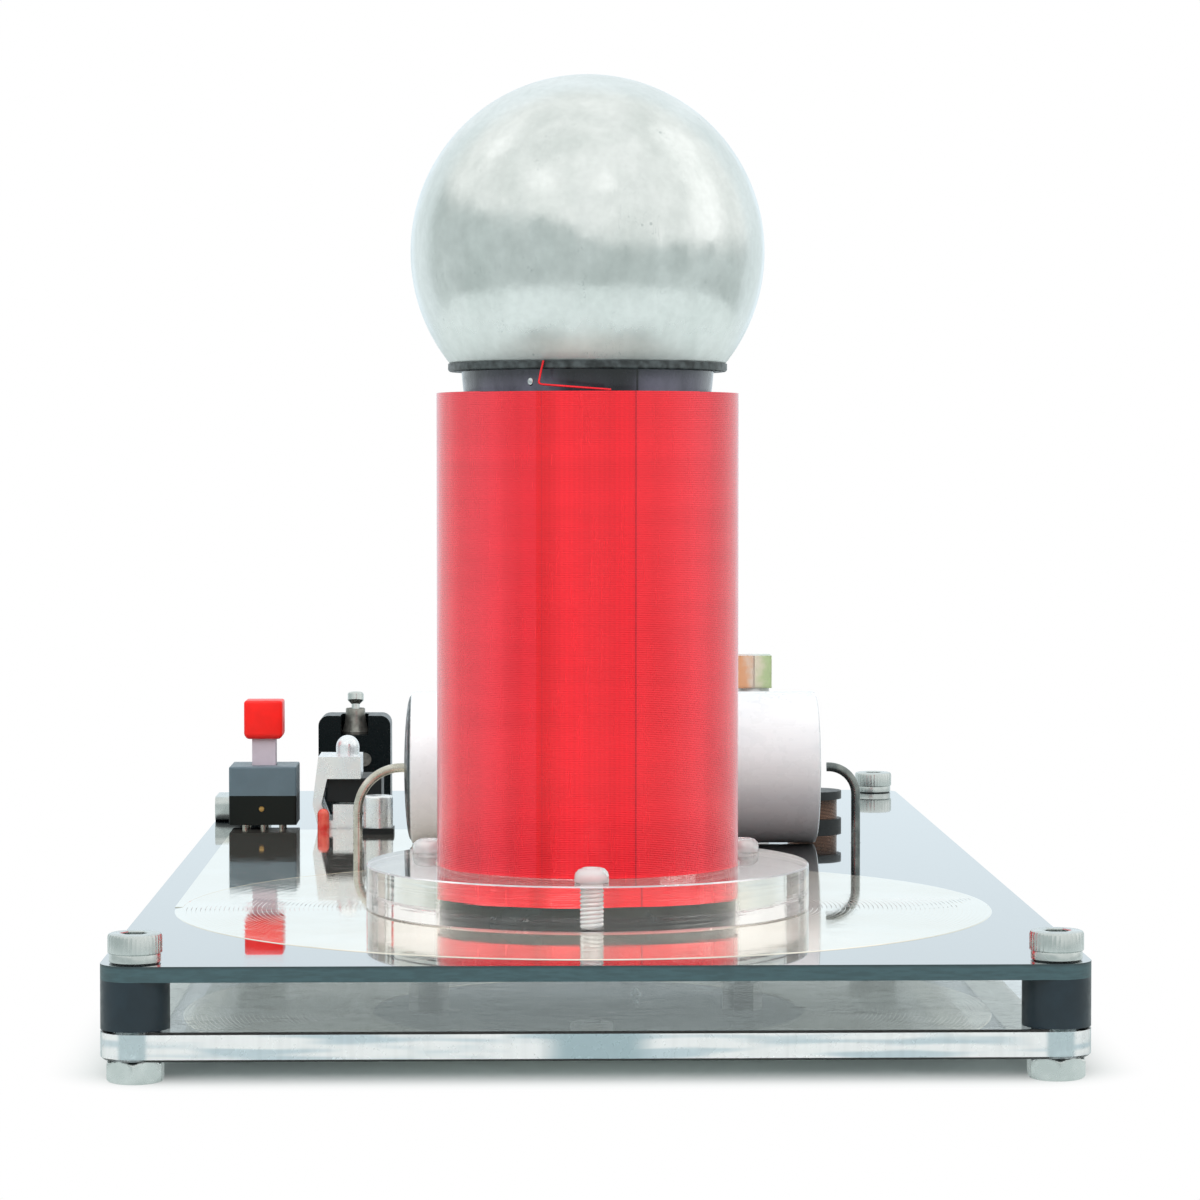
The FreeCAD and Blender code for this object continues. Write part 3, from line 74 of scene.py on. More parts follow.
def put(tree, kind, inputs=None, **settings):
    """Adds a node and gives each named socket a value or the output of another node."""
    spot = tree.nodes.new(kind)
    for name, value in settings.items():
        setattr(spot, name, value)
    for name, value in (inputs or {}).items():
        if isinstance(value, bpy.types.NodeSocket):
            tree.links.new(value, spot.inputs[name])
        else:
            spot.inputs[name].default_value = value
    return spot


def between(tree, value, low, high, out_low=0.0, out_high=1.0):
    """Maps a value from one span to another, smoothly and clamped."""
    span = {"Value": value, "From Min": low, "From Max": high, "To Min": out_low, "To Max": out_high}
    return put(tree, "ShaderNodeMapRange", span, interpolation_type="SMOOTHSTEP").outputs[0]


def sums(tree, operation, *values):
    """One arithmetic step on up to three values."""
    return put(tree, "ShaderNodeMath", dict(enumerate(values)), operation=operation).outputs[0]


def blend_colors(tree, share, first, second):
    """A colour between two others."""
    return put(tree, "ShaderNodeMix", {0: share, 6: first, 7: second}, data_type="RGBA").outputs[2]


def times(tree, color, factor):
    """A colour made lighter or darker."""
    return put(tree, "ShaderNodeVectorMath", {0: color, "Scale": factor}, operation="SCALE").outputs[0]


room = bpy.data.worlds.new("studio")
room.use_nodes = True
bpy.context.scene.world = room
air = room.node_tree
air.nodes.clear()
rays = put(air, "ShaderNodeLightPath")
toward = put(air, "ShaderNodeTexCoord").outputs["Generated"]
way = put(air, "ShaderNodeSeparateXYZ", {0: toward})
east, north, up = way.outputs["X"], way.outputs["Y"], way.outputs["Z"]


def bright_patch(aim, heart, rim):
    """A soft round bright patch of the room, from the cosines at its heart and at its rim."""
    aim = Vector(aim).normalized()
    facing = put(air, "ShaderNodeVectorMath", {0: toward, 1: aim}, operation="DOT_PRODUCT")
    return between(air, facing.outputs["Value"], rim, heart)


uneven = put(air, "ShaderNodeTexNoise", {"Vector": toward, "Scale": 5.0, "Detail": 3.0}).outputs[0]
belt_top = between(air, east, -0.75, 0.45, 0.36, 0.04)
height = sums(air, "ADD", sums(air, "SUBTRACT", up, belt_top), sums(air, "MULTIPLY_ADD", uneven, 0.2, -0.10))
over_belt = between(air, height, -0.08, 0.08)
belt = blend_colors(air, between(air, uneven, 0.35, 0.65), (0.45, 0.51, 0.50, 1), (0.57, 0.64, 0.63, 1))
ceiling = blend_colors(air, between(air, uneven, 0.35, 0.65), (0.78, 0.82, 0.80, 1), (0.92, 0.95, 0.93, 1))
seen_room = blend_colors(air, over_belt, belt, ceiling)
bright = bright_patch((0.62, 0.17, 0.76), 0.985, 0.965)
for aim, heart, rim in (((0.84, 0.05, 0.54), 0.985, 0.965), ((0.95, -0.08, 0.30), 0.988, 0.970),
                        ((0.135, -0.711, 0.69), 0.999, 0.990), ((-0.432, -0.577, 0.693), 0.998, 0.985),
                        ((-0.634, 0.15, 0.759), 0.998, 0.985)):
    bright = sums(air, "MAXIMUM", bright, bright_patch(aim, heart, rim))
seen_room = blend_colors(air, sums(air, "MULTIPLY", bright, 0.7), seen_room, (1.12, 1.14, 1.12, 1))
backdrop = blend_colors(air, between(air, up, 0.16, 0.34), (0.86, 0.97, 1.03, 1), (0.86, 0.93, 0.95, 1))
aside = between(air, sums(air, "ABSOLUTE", east), 0.25, 0.55)
backdrop = blend_colors(air, aside, backdrop, (0.76, 0.84, 0.85, 1))
mirrored = blend_colors(air, between(air, north, 0.42, 0.72), seen_room, backdrop)

soft_light = between(air, up, -0.3, 0.7, 0.20, 0.72)
soft_fill = put(air, "ShaderNodeBackground", {"Color": (0.96, 0.985, 1.0, 1), "Strength": soft_light})
mirror_room = put(air, "ShaderNodeBackground", {"Color": mirrored, "Strength": 1.0})
white_wall = put(air, "ShaderNodeBackground", {"Color": (1, 1, 1, 1), "Strength": 1.0})
lit = put(air, "ShaderNodeMixShader", {0: rays.outputs["Is Glossy Ray"], 1: soft_fill.outputs[0],
                                       2: mirror_room.outputs[0]})
seen = sums(air, "MAXIMUM", rays.outputs["Is Camera Ray"], rays.outputs["Is Transmission Ray"])
shown = put(air, "ShaderNodeMixShader", {0: seen, 1: lit.outputs[0], 2: white_wall.outputs[0]})
put(air, "ShaderNodeOutputWorld", {"Surface": shown.outputs[0]})


def soft_box(name, place, aim, size, power):
    """A square area lamp that faces a point, left out of mirror images."""
    lamp = bpy.data.lights.new(name, "AREA")
    lamp.shape = "SQUARE"
    lamp.size = size * MM
    lamp.energy = power
    box = bpy.data.objects.new(name, lamp)
    box.location = [part * MM for part in place]
    box.rotation_euler = (Vector(aim) - Vector(place)).to_track_quat("-Z", "Y").to_euler()
    box.visible_glossy = False
    bpy.context.scene.collection.objects.link(box)


soft_box("overhead_box", (-150, -150, 1000), (0, 0, 20), 1000, 4.6)
soft_box("front_box", (-120, -800, 640), (0, -20, 40), 600, 4.4)
soft_box("left_box", (-800, -350, 700), (0, -20, 40), 600, 1.3)
soft_box("right_box", (900, -350, 450), (0, -20, 40), 600, 2.0)


def show_mesh(name, bm, sharp=35):
    """Turns a finished bmesh into an object at the origin, smooth but for its sharp corners."""
    mesh = bpy.data.meshes.new(name)
    bm.to_mesh(mesh)
    bm.free()
    mesh.shade_smooth()
    mesh.set_sharp_from_angle(angle=math.radians(sharp))
    piece = bpy.data.objects.new(name, mesh)
    bpy.context.scene.collection.objects.link(piece)
    return piece


TABLE_RADIUS = 250

bm = bmesh.new()
bmesh.ops.create_circle(bm, cap_ends=True, cap_tris=True, segments=96, radius=TABLE_RADIUS * MM)
table = show_mesh("table_top", bm)

# The table keeps the shadow under the plates and turns plain white away from them. Under the plates it is
# painted a darker grey as painted shadow, and for rays through the plates and mirror rays it half glows
# there as painted light.
table_white = bpy.data.materials.new("table_white")
table_white.use_nodes = True
tree = table_white.node_tree
tree.nodes.clear()
spot = put(tree, "ShaderNodeTexCoord").outputs["Object"]
away = put(tree, "ShaderNodeVectorMath", {0: spot}, operation="ABSOLUTE").outputs[0]
past = put(tree, "ShaderNodeVectorMath", {0: away, 1: (0.043, 0.090, 0)}, operation="SUBTRACT").outputs[0]
past = put(tree, "ShaderNodeVectorMath", {0: past, 1: (0, 0, 0)}, operation="MAXIMUM").outputs[0]
reach = put(tree, "ShaderNodeVectorMath", {0: past}, operation="LENGTH").outputs["Value"]
rays = put(tree, "ShaderNodeLightPath")
mirror_ray = rays.outputs["Is Glossy Ray"]
through_ray = sums(tree, "MAXIMUM", mirror_ray, rays.outputs["Is Transmission Ray"])
seen = sums(tree, "MAXIMUM", rays.outputs["Is Camera Ray"], through_ray)
clear_of = between(tree, reach, 0.001, 0.014)
# Painted light: rays through the plates and mirror rays see the table under the plates half glowing
painted_under_glow = sums(tree, "MULTIPLY", through_ray, 0.46)
bare = sums(tree, "MULTIPLY", seen, sums(tree, "MAXIMUM", clear_of, painted_under_glow))
# Painted shadow: the table under the plates is a darker grey
painted_shadow_matte = put(tree, "ShaderNodeBsdfDiffuse", {"Color": (0.46, 0.52, 0.50, 1)})
glow_tone = blend_colors(tree, mirror_ray, (1, 1, 1, 1), (0.76, 0.84, 0.83, 1))
glow = put(tree, "ShaderNodeEmission", {"Color": glow_tone, "Strength": 1.0})
mixed = put(tree, "ShaderNodeMixShader", {0: bare, 1: painted_shadow_matte.outputs[0], 2: glow.outputs[0]})
put(tree, "ShaderNodeOutputMaterial", {"Surface": mixed.outputs[0]})
table.data.materials.append(table_white)


# Base plate
# A clear acrylic sheet, sawn to size: its broad faces are polished, and its narrow edges are satin
# with fine upright saw lines. It lies on the four lower nuts and is held by the corner screws.

HOLE_REACH = 3.0
SCREW_INSET = 3.5
SCREW_PLACE = (46.5, 96.5, 0)


def finish(name, **plain):
    """A new material, with its even values set on the shader's own sockets."""
    paint = bpy.data.materials.new(name)
    paint.use_nodes = True
    shader = paint.node_tree.nodes["Principled BSDF"]
    for socket, value in plain.items():
        shader.inputs[socket.replace("_", " ")].default_value = value
    return paint, paint.node_tree, shader


def measured(tree, center=(0, 0, 0), stretch=(1, 1, 1), turn=(0, 0, 0)):
    """Object coordinates in millimetres from a centre, stretched by three factors."""
    spot = put(tree, "ShaderNodeTexCoord").outputs["Object"]
    scale = [1000 * part for part in stretch]
    shift = [-part * factor for part, factor in zip(center, stretch)]
    return put(tree, "ShaderNodeMapping", {"Vector": spot, "Location": shift, "Scale": scale,
                                           "Rotation": turn}).outputs[0]


def effect(name, inputs, outputs):
    """A node group with its named sockets, and the two ends of it."""
    tree = bpy.data.node_groups.new(name, "ShaderNodeTree")
    for label, value in inputs.items():
        kind = "NodeSocketVector" if value is None else "NodeSocketFloat"
        socket = tree.interface.new_socket(name=label, in_out="INPUT", socket_type=kind)
        if value is not None:
            socket.default_value = value
    for label in outputs:
        tree.interface.new_socket(name=label, in_out="OUTPUT", socket_type="NodeSocketFloat")
    start = tree.nodes.new("NodeGroupInput").outputs
    return tree, start, tree.nodes.new("NodeGroupOutput").inputs


def use(tree, group, **inputs):
    """Places a node group with its own values and gives its first output."""
    return put(tree, "ShaderNodeGroup", inputs, node_tree=group).outputs[0]


def feed(source, shader, socket):
    """Links a value that changes over the surface to one socket of a shader."""
    shader.id_data.links.new(source, shader.inputs[socket])


def raise_up(tree, shader, height, depth, strength=1.0):
    """Feeds a height into the shader's normal, with its depth in millimetres."""
    bump = put(tree, "ShaderNodeBump", {"Height": height, "Distance": depth * MM, "Strength": strength})
    feed(bump.outputs[0], shader, "Normal")


def grain_of(tree, place, size, detail=2.0):
    """Plain noise with cells of a given size in millimetres."""
    return put(tree, "ShaderNodeTexNoise", {"Vector": place, "Scale": 1 / size, "Detail": detail}).outputs[0]


# Cloudy change over a surface, as from handling, uneven polish or moulding
mottle, start, end = effect("mottle", {"Place": None, "Size": 1.0, "Low": 0.0, "High": 1.0}, ["Value"])
scale = sums(mottle, "DIVIDE", 1.0, start["Size"])
clouds = put(mottle, "ShaderNodeTexNoise", {"Vector": start["Place"], "Scale": scale, "Detail": 4.0})
spread = between(mottle, clouds.outputs[0], 0.32, 0.68)
mottle.links.new(put(mottle, "ShaderNodeMapRange", {"Value": spread, "To Min": start["Low"],
                                                    "To Max": start["High"]}).outputs[0], end[0])

# Thin scratches, all roughly one way: the place is stretched along them before it comes in
hairline, start, end = effect("hairline", {"Place": None, "Size": 1.0, "Share": 0.1}, ["Mask"])
scale = sums(hairline, "DIVIDE", 1.0, start["Size"])
lines = put(hairline, "ShaderNodeTexNoise", {"Vector": start["Place"], "Scale": scale, "Detail": 2.0})
off_middle = sums(hairline, "ABSOLUTE", sums(hairline, "SUBTRACT", lines.outputs[0], 0.5))
edge = sums(hairline, "MULTIPLY", start["Share"], 0.2)
hairline.links.new(put(hairline, "ShaderNodeMapRange", {"Value": off_middle, "From Min": edge,
                                                        "From Max": 0.0}).outputs[0], end[0])


def clear_plastic(name, center, tint, rough, turned=False):
    """Clear acrylic with faint rubbing, or with the level lines of a lathe tool."""
    paint, tree, shader = finish(name, Base_Color=tint, Roughness=rough, IOR=1.49, Transmission_Weight=1.0)
    if turned:
        height = grain_of(tree, measured(tree, center, (0.05, 0.05, 2.2)), 1.0, 3.0)
        raise_up(tree, shader, height, 0.05, 0.30)
    else:
        height = use(tree, hairline, Place=measured(tree, center, (0.3, 1.2, 1.0)), Size=3.0, Share=0.06)
        raise_up(tree, shader, height, 0.004, 0.5)
    rays = put(tree, "ShaderNodeLightPath")
    through = put(tree, "ShaderNodeBsdfTransparent", {"Color": (0.92, 0.945, 0.96, 1)})
    glass = put(tree, "ShaderNodeMixShader", {0: rays.outputs["Is Shadow Ray"], 1: shader.outputs[0],
                                              2: through.outputs[0]})
    feed(glass.outputs[0], tree.nodes["Material Output"], "Surface")
    return paint


def dress(name, paint):
    """Gives every face of a CAD piece one finish."""
    for socket in NODES[name].material_slots:
        socket.material = paint


def box_of(name):
    """The low and the high corner of a CAD piece's box, in millimetres."""
    return [Vector(corner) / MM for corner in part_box(name)]


def from_model(name):
    """A merged copy of a CAD piece's faces, in millimetres."""
    bm = bmesh.new()
    bm.from_mesh(NODES[name].data)
    bmesh.ops.scale(bm, verts=bm.verts, vec=(1000, 1000, 1000))
    bmesh.ops.remove_doubles(bm, verts=bm.verts, dist=1e-3)
    return bm


def finish_mesh(name, bm, paints, body="chassis", replaced=(), sharp=35, outward=True):
    """Closes a bmesh drawn in millimetres, dresses it and lets it ride on its body."""
    if outward:
        bmesh.ops.recalc_face_normals(bm, faces=bm.faces)
    bmesh.ops.scale(bm, verts=bm.verts, vec=(MM, MM, MM))
    piece = show_mesh(name, bm, sharp)
    for paint in paints:
        piece.data.materials.append(paint)
    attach(piece, body)
    if replaced:
        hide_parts(*replaced)
    return piece


sawn_edge, tree, shader = finish("sawn_edge", IOR=1.49, Transmission_Weight=0.22, Coat_Weight=0.3,
                                 Coat_Roughness=0.15)
patches = grain_of(tree, measured(tree, (30, 0, 0), (0.07, 0.07, 0.9), (0, 0.03, 0)), 1.0, 1.0)
tone = blend_colors(tree, between(tree, patches, 0.36, 0.56), (0.60, 0.71, 0.76, 1), (0.99, 1.0, 1.0, 1))
saw = grain_of(tree, measured(tree, (0, 0, 0), (1.4, 1.4, 0.08)), 1.0, 2.0)
tone = times(tree, tone, between(tree, saw, 0.3, 0.62, 0.93, 1.0))
# Painted shade: the middle of the front and back edges is painted a darker blue-grey
middle = put(tree, "ShaderNodeSeparateXYZ", {0: measured(tree)}).outputs["X"]
painted_middle_shade = between(tree, sums(tree, "ABSOLUTE", middle), 6.5, 3.0)
tone = blend_colors(tree, painted_middle_shade, tone, (0.40, 0.52, 0.56, 1))

# Painted shade: soft darker bars are painted on the satin edge where the corner screws stand behind it, for
# the screws seen through it
from_middle = put(tree, "ShaderNodeVectorMath", {0: measured(tree)}, operation="ABSOLUTE").outputs[0]
off_screw = put(tree, "ShaderNodeVectorMath", {0: from_middle, 1: SCREW_PLACE}, operation="SUBTRACT")
off_screw = put(tree, "ShaderNodeVectorMath", {0: off_screw.outputs[0]}, operation="ABSOLUTE")
off_screw = put(tree, "ShaderNodeSeparateXYZ", {0: off_screw.outputs[0]})
off_screw = sums(tree, "MINIMUM", off_screw.outputs["X"], off_screw.outputs["Y"])
tone = blend_colors(tree, between(tree, off_screw, 1.7, 1.1), tone, (0.50, 0.60, 0.63, 1))
feed(tone, shader, "Base Color")
feed(use(tree, mottle, Place=measured(tree), Size=2.0, Low=0.22, High=0.36), shader, "Roughness")
raise_up(tree, shader, saw, 0.05, 0.3)

bm = from_model("base_plate")
low, high = box_of("base_plate")
for face in bm.faces:
    middle = face.calc_center_median()
    to_hole = Vector((high.x - SCREW_INSET - abs(middle.x), high.y - SCREW_INSET - abs(middle.y))).length
    face.material_index = int(abs(face.normal.z) < 0.5 and to_hole > HOLE_REACH)
base_acrylic = clear_plastic("base_acrylic", (0, 0, 4), (0.95, 0.985, 1.0, 1), 0.01)
finish_mesh("clear_base", bm, [base_acrylic, sawn_edge], replaced=["base_plate"]).data.shade_flat()


# Circuit board
# Glass-fibre board under a glossy black solder mask. Its sawn edge shows the dull blue-green of the
# bare fibre. Every lead and clear screw has its own drilled hole.

MASK_BLACK = (0.005, 0.008, 0.011, 1)
FIBRE_TEAL = (0.037, 0.081, 0.093)

board_mask, tree, shader = finish("board_mask", IOR=1.6, Coat_Weight=1.0, Coat_Roughness=0.012, Coat_IOR=1.6)
facing = put(tree, "ShaderNodeSeparateXYZ", {0: put(tree, "ShaderNodeNewGeometry").outputs["Normal"]})
edge = sums(tree, "LESS_THAN", sums(tree, "ABSOLUTE", facing.outputs["Z"]), 0.5)
place = measured(tree)
weave = use(tree, mottle, Place=measured(tree, (0, 0, 0), (0.5, 0.5, 3.0)), Size=0.8, Low=0.84, High=1.14)
level = put(tree, "ShaderNodeSeparateXYZ", {0: place}).outputs["Z"]
weave = sums(tree, "MULTIPLY", weave, between(tree, level, 11.6, 11.95, 1.0, 0.5))
tone = blend_colors(tree, edge, MASK_BLACK, times(tree, FIBRE_TEAL, weave))
feed(tone, shader, "Base Color")
dull = use(tree, mottle, Place=place, Size=9.0, Low=0.03, High=0.07)
rough = put(tree, "ShaderNodeMix", {0: edge, 2: dull, 3: 0.55}, data_type="FLOAT").outputs[0]
feed(rough, shader, "Roughness")
glaze = sums(tree, "SUBTRACT", 1.0, sums(tree, "MULTIPLY", edge, 0.85))
feed(glaze, shader, "Coat Weight")
raise_up(tree, shader, grain_of(tree, place, 3.0, 3.0), 0.02, 0.06)
dress("circuit_board", board_mask)


# Corner spacers, screws and nuts
# Black nylon tubes keep the plates apart. Stainless cap screws with knurled heads and a hexagon
# socket go down through both plates into plain hexagon nuts, which are the feet.

HEAD_RADIUS, HEAD_HEIGHT, HEAD_BEVEL = 2.75, 3.0, 0.32
GROOVE_LEVEL, GROOVE_DEPTH = 0.95, 0.2
KNURL_RIBS, KNURL_DEPTH = 40, 0.05
SOCKET_WIDTH, SOCKET_DEPTH, SOCKET_ROUND = 2.5, 1.4, 1.44
SHANK_RADIUS = 1.5
NUT_WIDTH, NUT_HEIGHT = 5.5, 2.4

black_nylon, tree, shader = finish("black_nylon", IOR=1.45, Coat_Weight=0.15, Coat_Roughness=0.3)
place = measured(tree)
shade = use(tree, mottle, Place=place, Size=2.4, Low=0.85, High=1.15)
feed(times(tree, (0.0100, 0.0215, 0.031), shade), shader, "Base Color")
feed(use(tree, mottle, Place=place, Size=0.8, Low=0.34, High=0.46), shader, "Roughness")
raise_up(tree, shader, grain_of(tree, place, 0.2), 0.01, 0.25)
dress("plate_spacers", black_nylon)


def bright_metal(name, dark, light, low_gloss, high_gloss, size=1.2, **plain):
    """Bare metal, a little cloudy in tone and polish."""
    paint, tree, shader = finish(name, Metallic=plain.pop("metallic", 1.0), **plain)
    place = measured(tree)
    shade = use(tree, mottle, Place=place, Size=size, Low=0.0, High=1.0)
    feed(blend_colors(tree, shade, (*dark, 1), (*light, 1)), shader, "Base Color")
    gloss = use(tree, mottle, Place=place, Size=size * 0.6, Low=low_gloss, High=high_gloss)
    feed(gloss, shader, "Roughness")
    return paint, tree, shader


stainless, tree, shader = bright_metal("stainless", (0.64, 0.68, 0.67), (0.74, 0.77, 0.76), 0.22, 0.32, 2.0)
raise_up(tree, shader, grain_of(tree, measured(tree, (0, 0, 0), (0.5, 0.5, 3.0)), 0.6, 1.0), 0.01, 0.12)


def linked_verts(first):
    """All vertices that hang together with the first one."""
    found, waiting = {first}, [first]
    while waiting:
        vert = waiting.pop()
        for link in vert.link_edges:
            other = link.other_vert(vert)
            if other not in found:
                found.add(other)
                waiting.append(other)
    return found


def spin_outline(bm, outline, steps, angle=math.tau, rise=0.0, merge=False):
    """Spins an outline of (radius, height) points about the upright axis, rising at each step."""
    verts = [bm.verts.new((radius, 0, height)) for radius, height in outline]
    edges = [bm.edges.new(pair) for pair in zip(verts, verts[1:])]
    bmesh.ops.spin(bm, geom=verts + edges, cent=(0, 0, 0), axis=(0, 0, 1), angle=angle, steps=steps,
                   dvec=(0, 0, rise), use_merge=merge)
    return verts


def lathe(bm, outline, steps, center=(0, 0, 0), turn=None):
    """Turns an outline into a closed round body, which then may be laid over and put in its place."""
    verts = spin_outline(bm, outline, steps, merge=True)
    body = list(linked_verts(verts[0]))
    bmesh.ops.remove_doubles(bm, verts=body, dist=1e-4)
    body = [vert for vert in body if vert.is_valid]
    if turn:
        bmesh.ops.rotate(bm, verts=body, cent=(0, 0, 0), matrix=turn)
    bmesh.ops.translate(bm, verts=body, vec=center)
    return body


def to_corners(bm):
    """Mirrors what stands at one corner to the other three."""
    for axis in ("X", "Y"):
        bmesh.ops.mirror(bm, geom=bm.verts[:] + bm.edges[:] + bm.faces[:], merge_dist=-1, axis=axis)


def hex_reach(angle, width):
    """How far a hexagon of a given width over its flats reaches at an angle."""
    return width / 2 / math.cos(angle % (math.pi / 3) - math.pi / 6)


def hex_nut(bm, width, tall, bore, center):
    """A hexagon nut with turned-down corners above and below and a plain bore."""
    chamfer = [(width * (0.46 + 0.02 * step), 0.09 * width * (step / 6) ** 1.5) for step in range(7)]
    outline = [(bore, 0.15), (bore + 0.15, 0)] + chamfer
    outline += [(radius, tall - level) for radius, level in outline[::-1]] + [(bore, 0.15)]
    for vert in lathe(bm, outline, 72):
        reach = math.hypot(vert.co.x, vert.co.y)
        most = hex_reach(math.atan2(vert.co.y, vert.co.x) + math.pi / 6, width)
        if reach > most:
            vert.co.xy *= most / reach
        vert.co += Vector(center)


low, high = box_of("corner_screws")
corner_x, corner_y = high.x - HEAD_RADIUS, high.y - HEAD_RADIUS
board_top = high.z - HEAD_HEIGHT
top, groove, bevel = HEAD_HEIGHT, GROOVE_LEVEL, HEAD_BEVEL
bm = bmesh.new()
outline = [(0, top - SOCKET_DEPTH), (SOCKET_ROUND, top - SOCKET_DEPTH), (SOCKET_ROUND, top - 0.1),
           (SOCKET_ROUND + 0.12, top), (HEAD_RADIUS - bevel, top),
           (HEAD_RADIUS - bevel * 0.3, top - bevel * 0.3), (HEAD_RADIUS, top - bevel),
           (HEAD_RADIUS, groove + 0.12), (HEAD_RADIUS - GROOVE_DEPTH, groove),
           (HEAD_RADIUS - 0.14, groove - 0.12), (HEAD_RADIUS - 0.14, 0.14), (HEAD_RADIUS - 0.3, 0),
           (SHANK_RADIUS, 0), (SHANK_RADIUS, -board_top + 0.3), (SHANK_RADIUS - 0.3, -board_top),
           (0, -board_top)]
for vert in lathe(bm, outline, KNURL_RIBS * 2):
    reach, angle = math.hypot(vert.co.x, vert.co.y), math.atan2(vert.co.y, vert.co.x)
    if 1.4 < reach < 1.6 and vert.co.z > top - SOCKET_DEPTH - 0.01:
        vert.co.xy *= hex_reach(angle, SOCKET_WIDTH) / SOCKET_ROUND
    in_furrow = round(angle / math.tau * KNURL_RIBS * 2) % 2
    if reach > HEAD_RADIUS - bevel * 0.4 and vert.co.z > groove and in_furrow:
        vert.co.xy *= 1 - KNURL_DEPTH / reach
bmesh.ops.translate(bm, verts=bm.verts, vec=(corner_x, corner_y, board_top))
to_corners(bm)
finish_mesh("cap_screws", bm, [stainless], replaced=["corner_screws"], sharp=28)

bm = bmesh.new()
hex_nut(bm, NUT_WIDTH, NUT_HEIGHT, SHANK_RADIUS + 0.02, (corner_x, corner_y, 0))
to_corners(bm)
finish_mesh("foot_nuts", bm, [stainless], replaced=["corner_nuts"], sharp=24)


# Flat coil and copper area
# The primary is one long copper trace that winds round the foot of the coil, tinned to a warm
# silver, with only hairline gaps between its turns. A plain tinned area joins it at the left, and
# a second flat coil lies on the underside.

TURNS = 41
TRACE_START = 23.9
GAP_SHARE, GAP_DEPTH = 0.10, 0.03
RIM_SLOPE = 0.07
TRACE_TILT = 0.0016
ROUND_STEPS = 180
POUR_GAP, JOIN_REACH = 0.22, 0.95

tinned, tree, shader = finish("tinned_copper", Metallic=0.95, IOR=1.5)
place = measured(tree)
warm = use(tree, mottle, Place=place, Size=14.0, Low=0.0, High=1.0)
feed(blend_colors(tree, warm, (0.95, 0.89, 0.79, 1), (1.0, 0.955, 0.87, 1)), shader, "Base Color")
feed(use(tree, mottle, Place=place, Size=2.2, Low=0.03, High=0.08), shader, "Roughness")
raise_up(tree, shader, grain_of(tree, place, 2.0, 3.0), 0.015, 0.03)


def flat_coil(node, upward):
    """Spins a row of traces once round, then lets each turn end where the next begins."""
    low, high = box_of(node)
    rim = high.x
    pitch = (rim - TRACE_START) / (TURNS + 0.2)
    face, floor = (high.z, low.z) if upward else (low.z, high.z)
    inward = math.copysign(1.0, floor - face)
    outline = [(TRACE_START, floor)]
    for turn in range(TURNS):
        start, end = TRACE_START + turn * pitch, TRACE_START + (turn + 1 - GAP_SHARE) * pitch
        left, right = [TRACE_TILT * (1 + math.sin(turn * step)) / 2 for step in (2.4, 4.1)]
        outline += [(start + 0.01, face + inward * left), (end, face + inward * right),
                    (end + GAP_SHARE * pitch / 2, face + inward * GAP_DEPTH)]
    outline[-2:] = [(rim - RIM_SLOPE, face), (rim, floor)]
    bm = bmesh.new()
    first = set(spin_outline(bm, outline, ROUND_STEPS))
    for vert in bm.verts:
        angle = math.atan2(vert.co.y, vert.co.x) % math.tau
        if vert in first:
            angle = 0.0
        elif angle < 1e-3:
            angle = math.tau
        reach = math.hypot(vert.co.x, vert.co.y)
        if reach < rim - RIM_SLOPE - 0.01:
            vert.co.xy *= (reach + pitch * angle / math.tau) / reach
        elif upward and math.pi / 2 < angle < math.pi:
            vert.co.xy *= (reach + POUR_GAP) / reach
        elif upward and math.pi <= angle < math.pi * 1.4:
            vert.co.xy *= (reach + JOIN_REACH * math.cos((angle - math.pi) * 1.25) ** 2) / reach
    bmesh.ops.remove_doubles(bm, verts=bm.verts, dist=1e-4)
    bmesh.ops.translate(bm, verts=bm.verts, vec=(0, (low.y + high.y) / 2, 0))
    return bm


for name, node, upward in (("primary_trace", "primary_spiral", True),
                           ("return_trace", "return_spiral", False)):
    finish_mesh(name, flat_coil(node, upward), [tinned], replaced=[node], sharp=12)
dress("copper_pour", tinned)


# Clamp ring and clear screws
# A thick clear acrylic ring, turned on a lathe with its corners eased, holds the foot of the coil to
# the board. Three slotted screws of milky nylon go down through it into nylon nuts.

RING_BORE, RING_EDGE = 17.2, 0.16
SCREW_CIRCLE = 21.0
NYLON_PITCH, THREAD_STEPS = 0.45, 16
NYLON_HEAD, NYLON_SHANK = 1.6, 5.0
SLOT_WIDTH, SLOT_DEPTH = 0.55, 0.7

low, high = box_of("clamp_ring")
ring_center = Vector(((low.x + high.x) / 2, (low.y + high.y) / 2, 0))
outer, inner, soft = (high.x - low.x) / 2, RING_BORE, RING_EDGE
eased_edge, tree, shader = finish("eased_edge", Base_Color=(0.95, 0.94, 0.97, 1), IOR=1.49,
                                  Transmission_Weight=0.6, Coat_Weight=0.3)
feed(use(tree, mottle, Place=measured(tree), Size=3.0, Low=0.20, High=0.28), shader, "Roughness")
bm = bmesh.new()
outline = [(inner, low.z), (outer - soft, low.z), (outer, low.z + soft), (outer, high.z - soft),
           (outer - soft, high.z), (inner + 0.1, high.z), (inner, high.z - 0.1), (inner, low.z)]
lathe(bm, outline, 128, ring_center)
for face in bm.faces:
    if 0.3 < abs(face.normal.z) < 0.95:
        face.material_index = 1
ring_acrylic = clear_plastic("ring_acrylic", (0, -50, 14), (1.0, 0.99, 0.955, 1), 0.015, turned=True)
finish_mesh("lathe_ring", bm, [ring_acrylic, eased_edge], replaced=["clamp_ring"],
            sharp=25)

milky_nylon, tree, shader = finish("milky_nylon", IOR=1.5, Transmission_Weight=0.55, Coat_Weight=1.0,
                                   Coat_Roughness=0.04)
place = measured(tree)
milk = use(tree, mottle, Place=place, Size=0.8, Low=0.0, High=1.0)
feed(blend_colors(tree, milk, (0.95, 0.97, 0.97, 1), (1.0, 1.0, 1.0, 1)), shader, "Base Color")
feed(use(tree, mottle, Place=place, Size=0.4, Low=0.08, High=0.16), shader, "Roughness")


